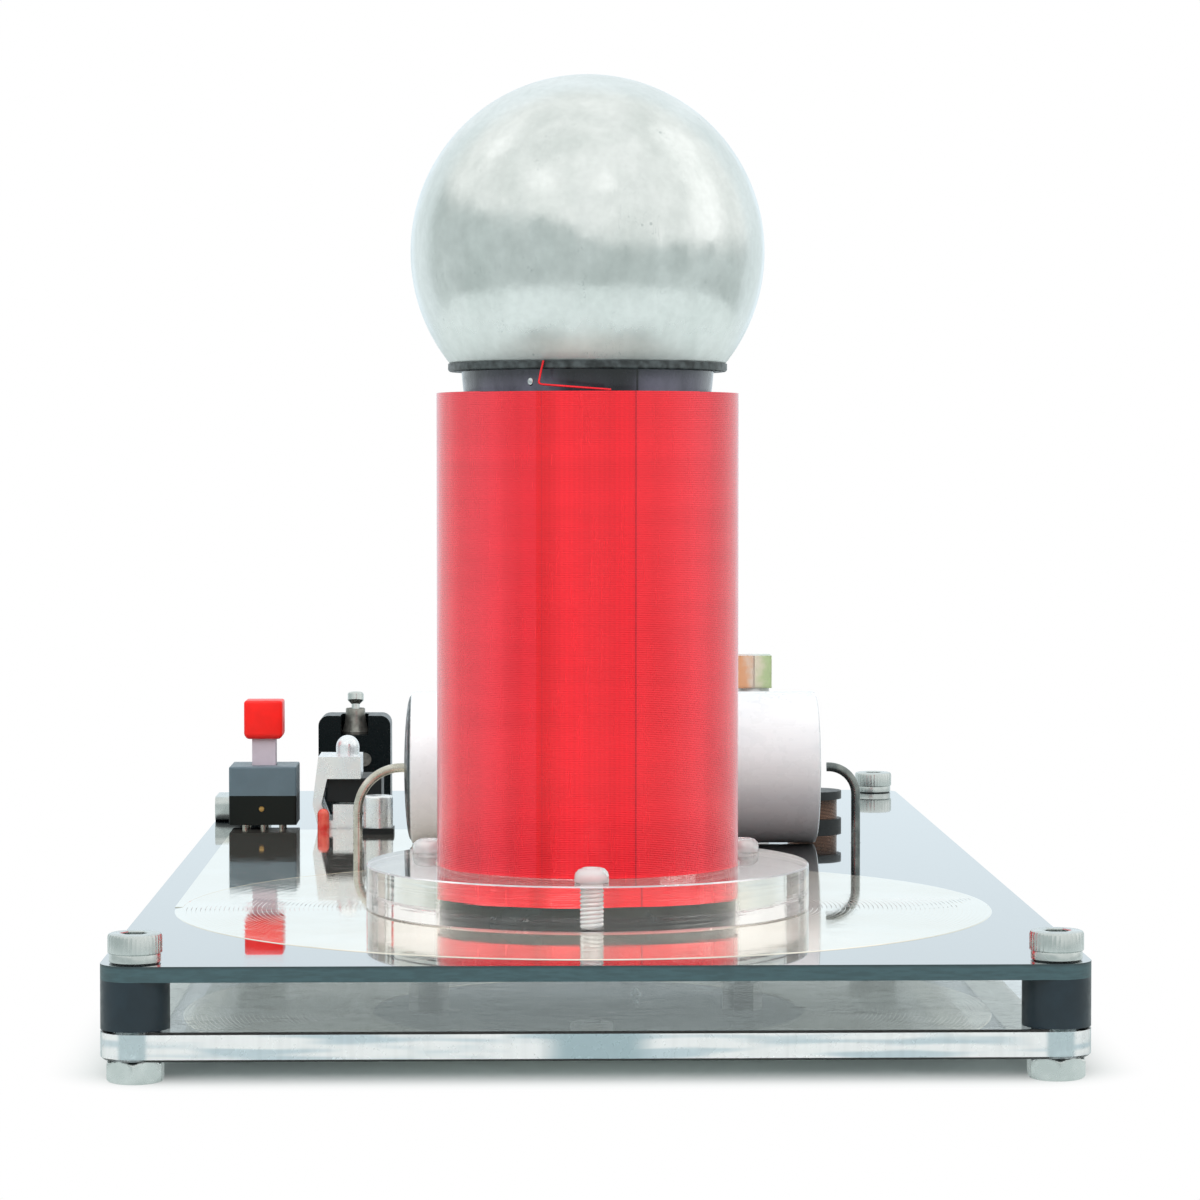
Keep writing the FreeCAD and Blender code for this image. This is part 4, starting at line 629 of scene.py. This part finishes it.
def threaded_rod(bm, root, crest, low, high, center):
    """A screw thread: a small tooth spun upwards turn by turn, with a flat end below."""
    pitch = NYLON_PITCH
    turns = int((high - low) / pitch)
    tooth = ((root, 0), (crest, pitch * 0.35), (crest, pitch * 0.65), (root, pitch))
    verts = spin_outline(bm, [(radius, low + lift) for radius, lift in tooth], THREAD_STEPS * turns,
                         math.tau * turns, pitch / THREAD_STEPS)
    body = list(linked_verts(verts[0]))
    bmesh.ops.remove_doubles(bm, verts=body, dist=1e-3)
    body = [vert for vert in body if vert.is_valid]
    cap = bmesh.ops.create_circle(bm, cap_ends=True, radius=root + 0.05, segments=THREAD_STEPS,
                                  matrix=Matrix.Translation((0, 0, low + pitch * 0.3)))["verts"]
    bmesh.ops.translate(bm, verts=body + cap, vec=center)


low, high = box_of("ring_screws")
ring_top = high.z - NYLON_HEAD
across = Matrix.Rotation(math.radians(75), 3, "Z") @ Vector((1, 0, 0))
bm = bmesh.new()
for third in range(3):
    angle = math.radians(-90 + 120 * third)
    center = ring_center + SCREW_CIRCLE * Vector((math.cos(angle), math.sin(angle), 0))
    head = [(0, high.z - 0.02), (1.05, high.z), (1.45, high.z - 0.12), (1.75, high.z - 0.45),
            (1.88, high.z - 0.9), (1.9, ring_top + 0.1), (1.8, ring_top + 0.01), (0.95, ring_top + 0.01)]
    for vert in lathe(bm, head, 24, center):
        if abs((vert.co - center).dot(across)) < SLOT_WIDTH * 0.75 and vert.co.z > ring_top + 0.8:
            vert.co.z -= SLOT_DEPTH
    shank_end = ring_top - NYLON_SHANK
    threaded_rod(bm, 1.12, 1.26, shank_end, ring_top, center)
    threaded_rod(bm, 0.82, 1.0, low.z, shank_end, center)
finish_mesh("nylon_screws", bm, [milky_nylon], replaced=["ring_screws"], sharp=50)
dress("ring_nuts", milky_nylon)


# Coil form
# A black plastic tube, cut square. It stands on the board inside the clamp ring, and shows bare
# below the lowest turn of the winding.

COIL_AXIS = (0, -50, 0)

black_tube, tree, shader = finish("black_tube", IOR=1.45, Coat_Weight=0.3, Coat_Roughness=0.1)
place = measured(tree, COIL_AXIS)
shade = use(tree, mottle, Place=place, Size=3.0, Low=0.6, High=1.5)
feed(times(tree, (0.011, 0.016, 0.018), shade), shader, "Base Color")
feed(use(tree, mottle, Place=place, Size=1.0, Low=0.14, High=0.26), shader, "Roughness")
raise_up(tree, shader, use(tree, hairline, Place=measured(tree, COIL_AXIS, (0.3, 0.3, 4.0)), Size=1.0,
                           Share=0.2), 0.01, 0.4)
dress("coil_form", black_tube)


# Winding
# One layer of hair-fine red enamelled wire, wound close turn on turn from just above the ring to
# the top of the form. A deeper red band is painted across the front, with fine upright ribs and a
# fine dark upright line at each edge: a painted reflection.

WIRE_PITCH = 0.2
TURN_STEPS = 64
WIRE_CROWN = 0.03
PAINTED_BAND_LEFT, PAINTED_BAND_RIGHT = -20.4, 16.8
PAINTED_RIB_COUNT = 195

red_enamel, tree, shader = finish("red_enamel", Metallic=0.30, IOR=1.45, Coat_Weight=0.45,
                                  Coat_Roughness=0.10, Coat_IOR=1.5)
place = measured(tree, COIL_AXIS)
parts = put(tree, "ShaderNodeSeparateXYZ", {0: place})
turned = sums(tree, "ARCTAN2", parts.outputs["X"], sums(tree, "MULTIPLY", parts.outputs["Y"], -1.0))
degrees = sums(tree, "MULTIPLY", turned, math.degrees(1))
# Painted reflection: a deeper red band across the front, between its two edges, deepest near its left edge
inside = sums(tree, "MULTIPLY", sums(tree, "GREATER_THAN", degrees, PAINTED_BAND_LEFT),
              sums(tree, "LESS_THAN", degrees, PAINTED_BAND_RIGHT))
deep = sums(tree, "MULTIPLY", inside, between(tree, degrees, PAINTED_BAND_LEFT, -11.0, 1.0, 0.0))
# Painted reflection: faint upright streaks; the rows round the winding are the wire's own uneven tone
upright = grain_of(tree, measured(tree, COIL_AXIS, (0.5, 0.5, 0.01)), 1.0, 1.0)
painted_streaks = between(tree, upright, 0.3, 0.7, 0.94, 1.04)
around = grain_of(tree, measured(tree, COIL_AXIS, (0.03, 0.03, 0.5)), 1.0, 1.0)
rows = between(tree, around, 0.3, 0.7, 0.97, 1.03)
# Painted reflection: fine upright ribs inside the band
painted_ribs = sums(tree, "MULTIPLY_ADD", sums(tree, "SINE", sums(tree, "MULTIPLY", turned, PAINTED_RIB_COUNT)), 0.035, 0.98)
painted_ribs = put(tree, "ShaderNodeMix", {0: inside, 2: 1.0, 3: painted_ribs}, data_type="FLOAT").outputs[0]
# Painted sheen: both sides of the winding are painted paler, and left of the front the red is painted a
# little darker as painted shade
painted_sheen = between(tree, degrees, 20.0, 60.0)
painted_sheen = sums(tree, "MAXIMUM", painted_sheen, between(tree, degrees, -24.0, -48.0))
leftward = between(tree, degrees, -10.0, -20.0)
tone = blend_colors(tree, leftward, (1.0, 0.018, 0.034, 1), (0.92, 0.016, 0.034, 1))
tone = blend_colors(tree, inside, tone, (1.0, 0.009, 0.024, 1))
tone = blend_colors(tree, deep, tone, (0.86, 0.003, 0.012, 1))
tone = blend_colors(tree, painted_sheen, tone, (1.0, 0.050, 0.078, 1))
tone = times(tree, tone, sums(tree, "MULTIPLY", painted_ribs, sums(tree, "MULTIPLY", painted_streaks, rows)))
# Painted reflection: a thin dark upright line at the band's right edge and a fainter one just inside its
# left edge
dark_line = between(tree, sums(tree, "ABSOLUTE", sums(tree, "SUBTRACT", degrees, PAINTED_BAND_RIGHT)), 0.32, 0.12)
painted_left_line = between(tree, sums(tree, "ABSOLUTE", sums(tree, "SUBTRACT", degrees, PAINTED_BAND_LEFT + 2.2)), 0.4, 0.1)
tone = blend_colors(tree, sums(tree, "MULTIPLY", dark_line, 0.75), tone, (0.30, 0.004, 0.02, 1))
tone = blend_colors(tree, sums(tree, "MULTIPLY", painted_left_line, 0.4), tone, (0.45, 0.01, 0.03, 1))
feed(tone, shader, "Base Color")
gloss = use(tree, mottle, Place=measured(tree, COIL_AXIS, (1, 1, 0.1)), Size=0.8, Low=0.20, High=0.28)
feed(gloss, shader, "Roughness")

low, high = box_of("secondary_winding")
outer = high.x
turns = round((high.z - low.z) / WIRE_PITCH) + 1
half = WIRE_PITCH / 2
section = [(outer - WIRE_CROWN * part ** 2, half * part) for part in (-0.99, -0.5, 0, 0.5, 0.99)]
bm = bmesh.new()
section = [(radius, low.z + half + level) for radius, level in section]
spin_outline(bm, section, TURN_STEPS, rise=WIRE_PITCH / TURN_STEPS)
count = 1
while count < turns:
    top_turn = low.z + WIRE_PITCH * (turns - count) + 1e-3
    below = bm.faces[:] if count * 2 <= turns else [face for face in bm.faces
                                                   if face.calc_center_median().z < top_turn]
    copied = bmesh.ops.duplicate(bm, geom=below)["geom"]
    moved = [part for part in copied if isinstance(part, bmesh.types.BMVert)]
    bmesh.ops.translate(bm, verts=moved, vec=(0, 0, WIRE_PITCH * count))
    count = min(count * 2, turns)
bmesh.ops.translate(bm, verts=bm.verts, vec=COIL_AXIS)
finish_mesh("red_winding", bm, [red_enamel], replaced=["secondary_winding"], sharp=180)
dress("base_lead", red_enamel)


# Top lead
# The end of the wire leaves the last turn at the front, runs along the foot of the plug and climbs
# to the ball's rim, where a small bead of solder holds it.

WIRE_RADIUS = 0.12
BEAD_RADIUS, BEAD_SHAPE, BEAD_PLACE = 0.36, (0.9, 0.7, 1.25), (-6.5, -65.3, 71.0)
LEAD_ROUTE = ((2.2, -66.78, 70.12), (-1.0, -66.80, 70.35), (-4.4, -66.15, 70.62), (-5.65, -65.72, 70.72),
              (-5.55, -65.50, 71.3), (-5.35, -65.25, 72.3), (-5.1, -65.15, 73.3))

line = bpy.data.curves.new("climbing_lead", "CURVE")
line.dimensions = "3D"
line.bevel_depth = WIRE_RADIUS * MM
line.bevel_resolution = 3
line.use_fill_caps = True
spline = line.splines.new("NURBS")
spline.points.add(len(LEAD_ROUTE) - 1)
for point, place in zip(spline.points, LEAD_ROUTE):
    point.co = (*[part * MM for part in place], 1.0)
spline.order_u = 3
spline.use_endpoint_u = True
line.materials.append(red_enamel)
lead = bpy.data.objects.new("climbing_lead", line)
bpy.context.scene.collection.objects.link(lead)
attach(lead, "chassis")
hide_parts("top_lead")

solder, *_ = bright_metal("solder", (0.60, 0.62, 0.64), (0.84, 0.85, 0.86), 0.12, 0.30, 0.8)
bm = bmesh.new()
bmesh.ops.create_uvsphere(bm, u_segments=20, v_segments=12, radius=BEAD_RADIUS)
bmesh.ops.scale(bm, verts=bm.verts, vec=BEAD_SHAPE)
bmesh.ops.translate(bm, verts=bm.verts, vec=BEAD_PLACE)
finish_mesh("lead_bead", bm, [solder])


# Plug and gasket
# A tapered plug, moulded in dark glossy plastic, stops the top of the form. It carries the ball over
# a thin ring of black rubber.

PLUG_PLACE = (0, -50, 70)

plug_plastic, tree, shader = finish("plug_plastic", IOR=1.5, Coat_Weight=0.6, Coat_Roughness=0.12)
place = measured(tree, PLUG_PLACE)
shade = use(tree, mottle, Place=measured(tree, PLUG_PLACE, (1, 1, 0.4)), Size=4.5, Low=0.55, High=1.35)
across = put(tree, "ShaderNodeSeparateXYZ", {0: place}).outputs["X"]
# Painted reflection: the middle of the plug facing front and back is painted much darker, for the dim room
# mirrored in it; its sides stay paler
painted_dark_middle = between(tree, sums(tree, "ABSOLUTE", sums(tree, "SUBTRACT", across, 1.2)), 5.5, 3.0, 1.0, 0.22)
dark_line = between(tree, sums(tree, "ABSOLUTE", sums(tree, "SUBTRACT", across, 5.16)), 0.16, 0.06, 1.0, 0.15)
shade = sums(tree, "MULTIPLY", shade, sums(tree, "MULTIPLY", painted_dark_middle, dark_line))
feed(times(tree, (0.165, 0.160, 0.215), shade), shader, "Base Color")
feed(use(tree, mottle, Place=place, Size=1.2, Low=0.18, High=0.34), shader, "Roughness")
dress("form_plug", plug_plastic)

black_rubber, tree, shader = finish("black_rubber", IOR=1.5)
place = measured(tree, PLUG_PLACE)
shade = use(tree, mottle, Place=place, Size=0.9, Low=0.5, High=1.9)
feed(times(tree, (0.044, 0.052, 0.054), shade), shader, "Base Color")
feed(use(tree, mottle, Place=place, Size=0.5, Low=0.30, High=0.45), shader, "Roughness")
raise_up(tree, shader, grain_of(tree, place, 0.35), 0.03, 0.5)
dress("ball_gasket", black_rubber)


# Ball
# A hollow ball pressed from thin stainless sheet and polished by hand, open below where it sits
# over the plug. Its skin is cloudy, with wiping marks, small nicks and fine scratches.

WALL = 0.5

ball_steel, tree, shader = finish("ball_steel", Metallic=1.0)
low, high = box_of("discharge_ball")
ball_radius = (high.x - low.x) / 2
ball_center = Vector(((low.x + high.x) / 2, (low.y + high.y) / 2, high.z - ball_radius))
place = measured(tree, ball_center)
cloud = use(tree, mottle, Place=measured(tree, ball_center, (1.0, 1.0, 0.6)), Size=6.0, Low=0.0, High=1.0)
wipe = use(tree, mottle, Place=measured(tree, ball_center, (1.6, 1.0, 0.25), (0, 0.4, 0)), Size=2.2, Low=0.0,
           High=1.0)
nicks = use(tree, hairline, Place=measured(tree, ball_center, (1.8, 1.8, 0.4), (0.3, 0.2, 0)), Size=1.6,
            Share=0.03)
sparse = between(tree, grain_of(tree, place, 3.5), 0.56, 0.66)
nicks = sums(tree, "MULTIPLY", nicks, sparse)
pits = between(tree, put(tree, "ShaderNodeTexVoronoi", {"Vector": place, "Scale": 0.42}).outputs["Distance"],
               0.10, 0.05)
worn = sums(tree, "MAXIMUM", nicks, sums(tree, "MULTIPLY", pits, sparse))
tone = blend_colors(tree, cloud, (0.84, 0.87, 0.855, 1), (0.92, 0.94, 0.93, 1))
tone = times(tree, tone, use(tree, mottle, Place=place, Size=0.9, Low=0.97, High=1.02))
tone = blend_colors(tree, sums(tree, "MULTIPLY", worn, 0.55), tone, (0.45, 0.50, 0.50, 1))
feed(tone, shader, "Base Color")
level = put(tree, "ShaderNodeSeparateXYZ", {0: place}).outputs["Z"]
haze = sums(tree, "ADD", sums(tree, "MULTIPLY", wipe, 0.10), between(tree, level, -7.0, -14.0, 0.15, 0.55))
feed(haze, shader, "Roughness")
dents = sums(tree, "MULTIPLY_ADD", worn, -0.02, grain_of(tree, place, 7.0, 4.0))
raise_up(tree, shader, dents, 0.30, 0.30)

bm = bmesh.new()
bmesh.ops.create_uvsphere(bm, u_segments=128, v_segments=96, radius=ball_radius)
cut = low.z - ball_center.z
bmesh.ops.bisect_plane(bm, geom=bm.verts[:] + bm.edges[:] + bm.faces[:], dist=1e-4, plane_co=(0, 0, cut),
                       plane_no=(0, 0, -1), clear_outer=True)
bmesh.ops.recalc_face_normals(bm, faces=bm.faces)
bmesh.ops.solidify(bm, geom=bm.faces[:], thickness=WALL)
bmesh.ops.translate(bm, verts=bm.verts, vec=ball_center)
finish_mesh("steel_ball", bm, [ball_steel], replaced=["discharge_ball"], sharp=60,
            outward=False)


# Film capacitor
# A fat roll of film in a glossy white wrap, its ends potted with dark epoxy. Two stiff tinned wires
# leave the ends and bend down into the board.

ROLL_RIM = 0.5
END_RADIUS = 9.5
END_BULGE = 0.9
RIGHT_SHORT, RIGHT_SUNK, RIGHT_BULGE = 0.8, 0.15, 0.3

white_wrap, tree, shader = finish("white_wrap", IOR=1.5, Coat_Weight=0.5, Coat_Roughness=0.12)
low, high = box_of("capacitor_body")
roll_center = (low + high) / 2
place = measured(tree, roll_center)
shade = use(tree, mottle, Place=measured(tree, roll_center, (0.3, 1, 1)), Size=4.0, Low=0.0, High=1.0)
feed(blend_colors(tree, shade, (0.80, 0.82, 0.84, 1), (0.86, 0.87, 0.88, 1)), shader, "Base Color")
feed(use(tree, mottle, Place=place, Size=2.0, Low=0.22, High=0.36), shader, "Roughness")
raise_up(tree, shader, use(tree, hairline, Place=measured(tree, roll_center, (0.15, 1.2, 1.2)), Size=3.0,
                           Share=0.2), 0.02, 0.2)

roll_radius, roll_half, rim = (high.z - low.z) / 2, (high.x - low.x) / 2, ROLL_RIM
lying = Matrix.Rotation(math.pi / 2, 3, "Y")
bm = bmesh.new()
half_outline = [(0, roll_half - 0.25), (roll_radius - 1.2, roll_half - 0.25),
                (roll_radius - 1.0, roll_half - 0.05), (roll_radius - rim, roll_half),
                (roll_radius - 0.12, roll_half - 0.14), (roll_radius, roll_half - rim),
                (roll_radius - 0.05, roll_half - 2.2)]
outline = [(radius, -level) for radius, level in half_outline]
outline += [(radius, level - RIGHT_SHORT) for radius, level in half_outline[::-1]]
lathe(bm, outline, 96, roll_center, lying)
finish_mesh("capacitor_roll", bm, [white_wrap], replaced=["capacitor_body"], sharp=30)

dark_epoxy, tree, shader = finish("dark_epoxy", IOR=1.5, Coat_Weight=0.3, Coat_Roughness=0.2)
place = measured(tree)
shade = use(tree, mottle, Place=place, Size=1.4, Low=0.6, High=1.5)
feed(times(tree, (0.025, 0.034, 0.040), shade), shader, "Base Color")
feed(use(tree, mottle, Place=place, Size=0.8, Low=0.25, High=0.5), shader, "Roughness")
raise_up(tree, shader, grain_of(tree, place, 0.7), 0.06, 0.5)
bm = bmesh.new()
angles = [step * math.pi / 20 for step in range(11)]
dome = [(END_RADIUS * math.sin(angle), END_BULGE * math.cos(angle)) for angle in angles]
right_end = roll_half - RIGHT_SHORT - RIGHT_SUNK
for end in ([(radius, -roll_half - level) for radius, level in dome],
            [(radius, right_end + level * RIGHT_BULGE) for radius, level in dome]):
    lathe(bm, end, 64, roll_center, lying)
finish_mesh("epoxy_ends", bm, [dark_epoxy], replaced=["capacitor_ends"], sharp=40)

tinned_wire, *_ = bright_metal("tinned_wire", (0.58, 0.55, 0.47), (0.78, 0.75, 0.67), 0.22, 0.34, 2.0,
                               metallic=0.85)
for name in ("capacitor_lead_left", "transistor_legs", "lamp_leads", "resistor_leads", "bulk_legs",
             "chip_legs", "switch_pins", "toggle_pins"):
    dress(name, tinned_wire)
# Painted shade: the right lead is the same tinned wire as the left, given a darker copy of its colour
shaded_tinned_wire, *_ = bright_metal("shaded_tinned_wire", (0.16, 0.18, 0.18), (0.34, 0.36, 0.34), 0.22, 0.34, 2.0,
                             metallic=0.85)
dress("capacitor_lead_right", shaded_tinned_wire)


# Push switch
# A latching push switch: a grey cover clipped over a black base, a white nylon stem and a square
# red cap pressed onto it. A brass peg of the latch shows in the front of the base.

CAP_EASE, CAP_SKIRT_EASE = 0.35, 0.8
PEG_OUTLINE = ((0, 0.12), (0.34, 0.12), (0.42, 0.0), (0.42, -0.3))
PEG_ACROSS, PEG_LEVEL = 4.45, 14.8


def moulded(name, color, rough, depth=0.008, coat=0.1, ior=1.5):
    """Moulded plastic, slightly uneven in tone and gloss, with a fine eroded skin."""
    paint, tree, shader = finish(name, IOR=ior, Coat_Weight=coat, Coat_Roughness=0.25)
    place = measured(tree)
    shade = use(tree, mottle, Place=place, Size=2.5, Low=0.95, High=1.04)
    feed(times(tree, color, shade), shader, "Base Color")
    gloss = use(tree, mottle, Place=place, Size=0.8, Low=rough - 0.04, High=rough + 0.06)
    feed(gloss, shader, "Roughness")
    raise_up(tree, shader, grain_of(tree, place, 0.15), depth, 0.3)
    return paint


dress("switch_housing", moulded("switch_grey", (0.105, 0.155, 0.185), 0.4))
dress("switch_base", moulded("switch_black", (0.004, 0.006, 0.005), 0.35, coat=0.0, ior=1.33))
dress("switch_stem", moulded("white_nylon", (0.58, 0.51, 0.57), 0.4))

# The spring is a merged copy of the CAD spring, with a mesh of its own
low, high = box_of("switch_spring")
spring = finish_mesh("return_spring", from_model("switch_spring"), [stainless], replaced=["switch_spring"])
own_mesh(spring)

low, high = box_of("switch_cap")
bm = bmesh.new()
bmesh.ops.create_cube(bm, size=1.0)
bmesh.ops.scale(bm, verts=bm.verts, vec=high - low)
lower = [edge for edge in bm.edges if all(vert.co.z < 0 for vert in edge.verts)]
bmesh.ops.bevel(bm, geom=lower, offset=CAP_SKIRT_EASE, offset_type="OFFSET", segments=4, profile=0.5,
                affect="EDGES", material=-1)
crown = [edge for edge in bm.edges if edge.is_manifold and edge.calc_face_angle() > 0.9]
bmesh.ops.bevel(bm, geom=crown, offset=CAP_EASE, offset_type="OFFSET", segments=3, profile=0.5,
                affect="EDGES", material=-1)
bmesh.ops.translate(bm, verts=bm.verts, vec=(low + high) / 2)
red_plastic = moulded("red_plastic", (0.93, 0.012, 0.008), 0.36, ior=1.4)
finish_mesh("red_cap", bm, [red_plastic], body="push_button", replaced=["switch_cap"],
            sharp=60)

brass_peg, *_ = bright_metal("brass_peg", (0.42, 0.24, 0.08), (0.60, 0.38, 0.14), 0.25, 0.4, 0.3)
low, high = box_of("switch_base")
bm = bmesh.new()
lathe(bm, PEG_OUTLINE, 20, (low.x + PEG_ACROSS, low.y + 0.02, PEG_LEVEL),
      Matrix.Rotation(math.pi / 2, 3, "X"))
finish_mesh("latch_peg", bm, [brass_peg])


# Transistor and heat sink
# A folded aluminium bracket stands over the transistor, which a dome-headed screw holds under the
# bracket's top. A small red lamp stands in front.

bright_alloy, *_ = bright_metal("sink_aluminium", (0.92, 0.95, 0.98), (1.0, 1.0, 1.0), 0.20, 0.34, 2.5,
                                metallic=0.75)
dress("heat_sink", bright_alloy)
dress("transistor_screw", bright_alloy)
dress("transistor_nut", stainless)
chip_black = moulded("chip_black", (0.011, 0.013, 0.014), 0.40, 0.02, coat=0.0, ior=1.35)
dress("transistor_body", chip_black)
dress("driver_chip", chip_black)

red_lamp, tree, shader = finish("indicator_red", Roughness=0.12, IOR=1.5, Transmission_Weight=0.4)
inside = use(tree, mottle, Place=measured(tree), Size=0.8, Low=0.0, High=1.0)
feed(blend_colors(tree, inside, (0.88, 0.05, 0.04, 1), (1.0, 0.20, 0.14, 1)), shader, "Base Color")
dress("indicator_led", red_lamp)


# Toggle switch
# A miniature switch soldered to the board: a black moulded block with a small rivet in its face, and
# a short turned neck of grey metal in which a silver lever rocks.

NECK_HEIGHT, NECK_FOOT, NECK_MOUTH, NECK_BORE = 3.8, 2.05, 1.44, 1.0

dress("toggle_body", moulded("toggle_black", (0.003, 0.006, 0.007), 0.28, coat=0.0, ior=1.3))
neck_metal, *_ = bright_metal("neck_metal", (0.22, 0.22, 0.20), (0.36, 0.35, 0.32), 0.28, 0.42, 0.8,
                              metallic=0.8)
low, high = box_of("toggle_bushing")
bm = bmesh.new()
outline = [(NECK_BORE, 0), (NECK_FOOT, 0), (NECK_FOOT, 0.35), (NECK_FOOT - 0.12, 0.5), (1.62, 1.7),
           (1.46, 2.9), (NECK_MOUTH, NECK_HEIGHT - 0.1), (NECK_MOUTH - 0.06, NECK_HEIGHT),
           (NECK_MOUTH - 0.11, NECK_HEIGHT), (NECK_BORE, 2.5), (NECK_BORE, 0)]
lathe(bm, outline, 40, ((low.x + high.x) / 2, (low.y + high.y) / 2, high.z - NECK_HEIGHT))
finish_mesh("toggle_neck", bm, [neck_metal], replaced=["toggle_bushing"], sharp=30)
dress("toggle_rivet", neck_metal)
dress("toggle_lever", stainless)


# Power socket
# A small socket for the supply at the left edge: a shell folded from stainless sheet, soldered to
# the board, with a flat tongue of black plastic inside.

dress("socket_shell", stainless)
dress("socket_tongue", chip_black)


# Inductor, lamp and small parts
# A drum-core inductor, a lamp of two colours on a white spacer, two can capacitors, a driver chip
# and a few resistors stand on the rear half of the board.

dress("inductor_core", moulded("ferrite", (0.018, 0.022, 0.024), 0.45, 0.03))
copper_wire, tree, shader = finish("copper_wire", Metallic=0.8, Coat_Weight=0.5, Coat_Roughness=0.15)
place = measured(tree)
# The bands follow the turns of the wire: the dark bands between the turns are painted shade, the lighter
# bands carry the copper's own colour
turns_and_shade = put(tree, "ShaderNodeTexWave", {"Vector": place, "Scale": 1.6, "Distortion": 0.2},
                 wave_type="BANDS", bands_direction="Z").outputs[0]
feed(blend_colors(tree, turns_and_shade, (0.10, 0.05, 0.035, 1), (0.38, 0.21, 0.14, 1)), shader, "Base Color")
feed(use(tree, mottle, Place=place, Size=0.5, Low=0.25, High=0.4), shader, "Roughness")
raise_up(tree, shader, turns_and_shade, 0.1, 0.8)
dress("inductor_winding", copper_wire)


def tinted_lens(name, from_x, to_x, edge, heart):
    """Cloudy coloured resin that grows paler from one side to the other."""
    paint, tree, shader = finish(name, Roughness=0.25, IOR=1.5, Transmission_Weight=0.55, Coat_Weight=0.3)
    place = measured(tree)
    along = put(tree, "ShaderNodeSeparateXYZ", {0: place}).outputs["X"]
    along = sums(tree, "ADD", use(tree, mottle, Place=place, Size=1.8, Low=-0.5, High=0.5), along)
    feed(blend_colors(tree, between(tree, along, from_x, to_x), edge, heart), shader, "Base Color")
    return paint


low, high = box_of("lamp_lens_amber")
amber = tinted_lens("lamp_amber", low.x + 0.6, high.x, (1.0, 0.50, 0.26, 1), (1.0, 0.82, 0.68, 1))
dress("lamp_lens_amber", amber)
low, high = box_of("lamp_lens_green")
green = tinted_lens("lamp_green", low.x, high.x - 0.4, (1.0, 0.90, 0.72, 1), (0.62, 0.76, 0.42, 1))
dress("lamp_lens_green", green)
dress("lamp_spacer", moulded("white_plastic", (0.88, 0.89, 0.88), 0.4))
dress("can_capacitor", bright_alloy)
dress("can_base", chip_black)
dress("bulk_capacitor", moulded("bulk_sleeve", (0.02, 0.03, 0.07), 0.3))
dress("resistor_bodies", moulded("resistor_coat", (0.36, 0.60, 0.72), 0.35))
dress("chip_resistors", chip_black)
dress("solder_joints", solder)
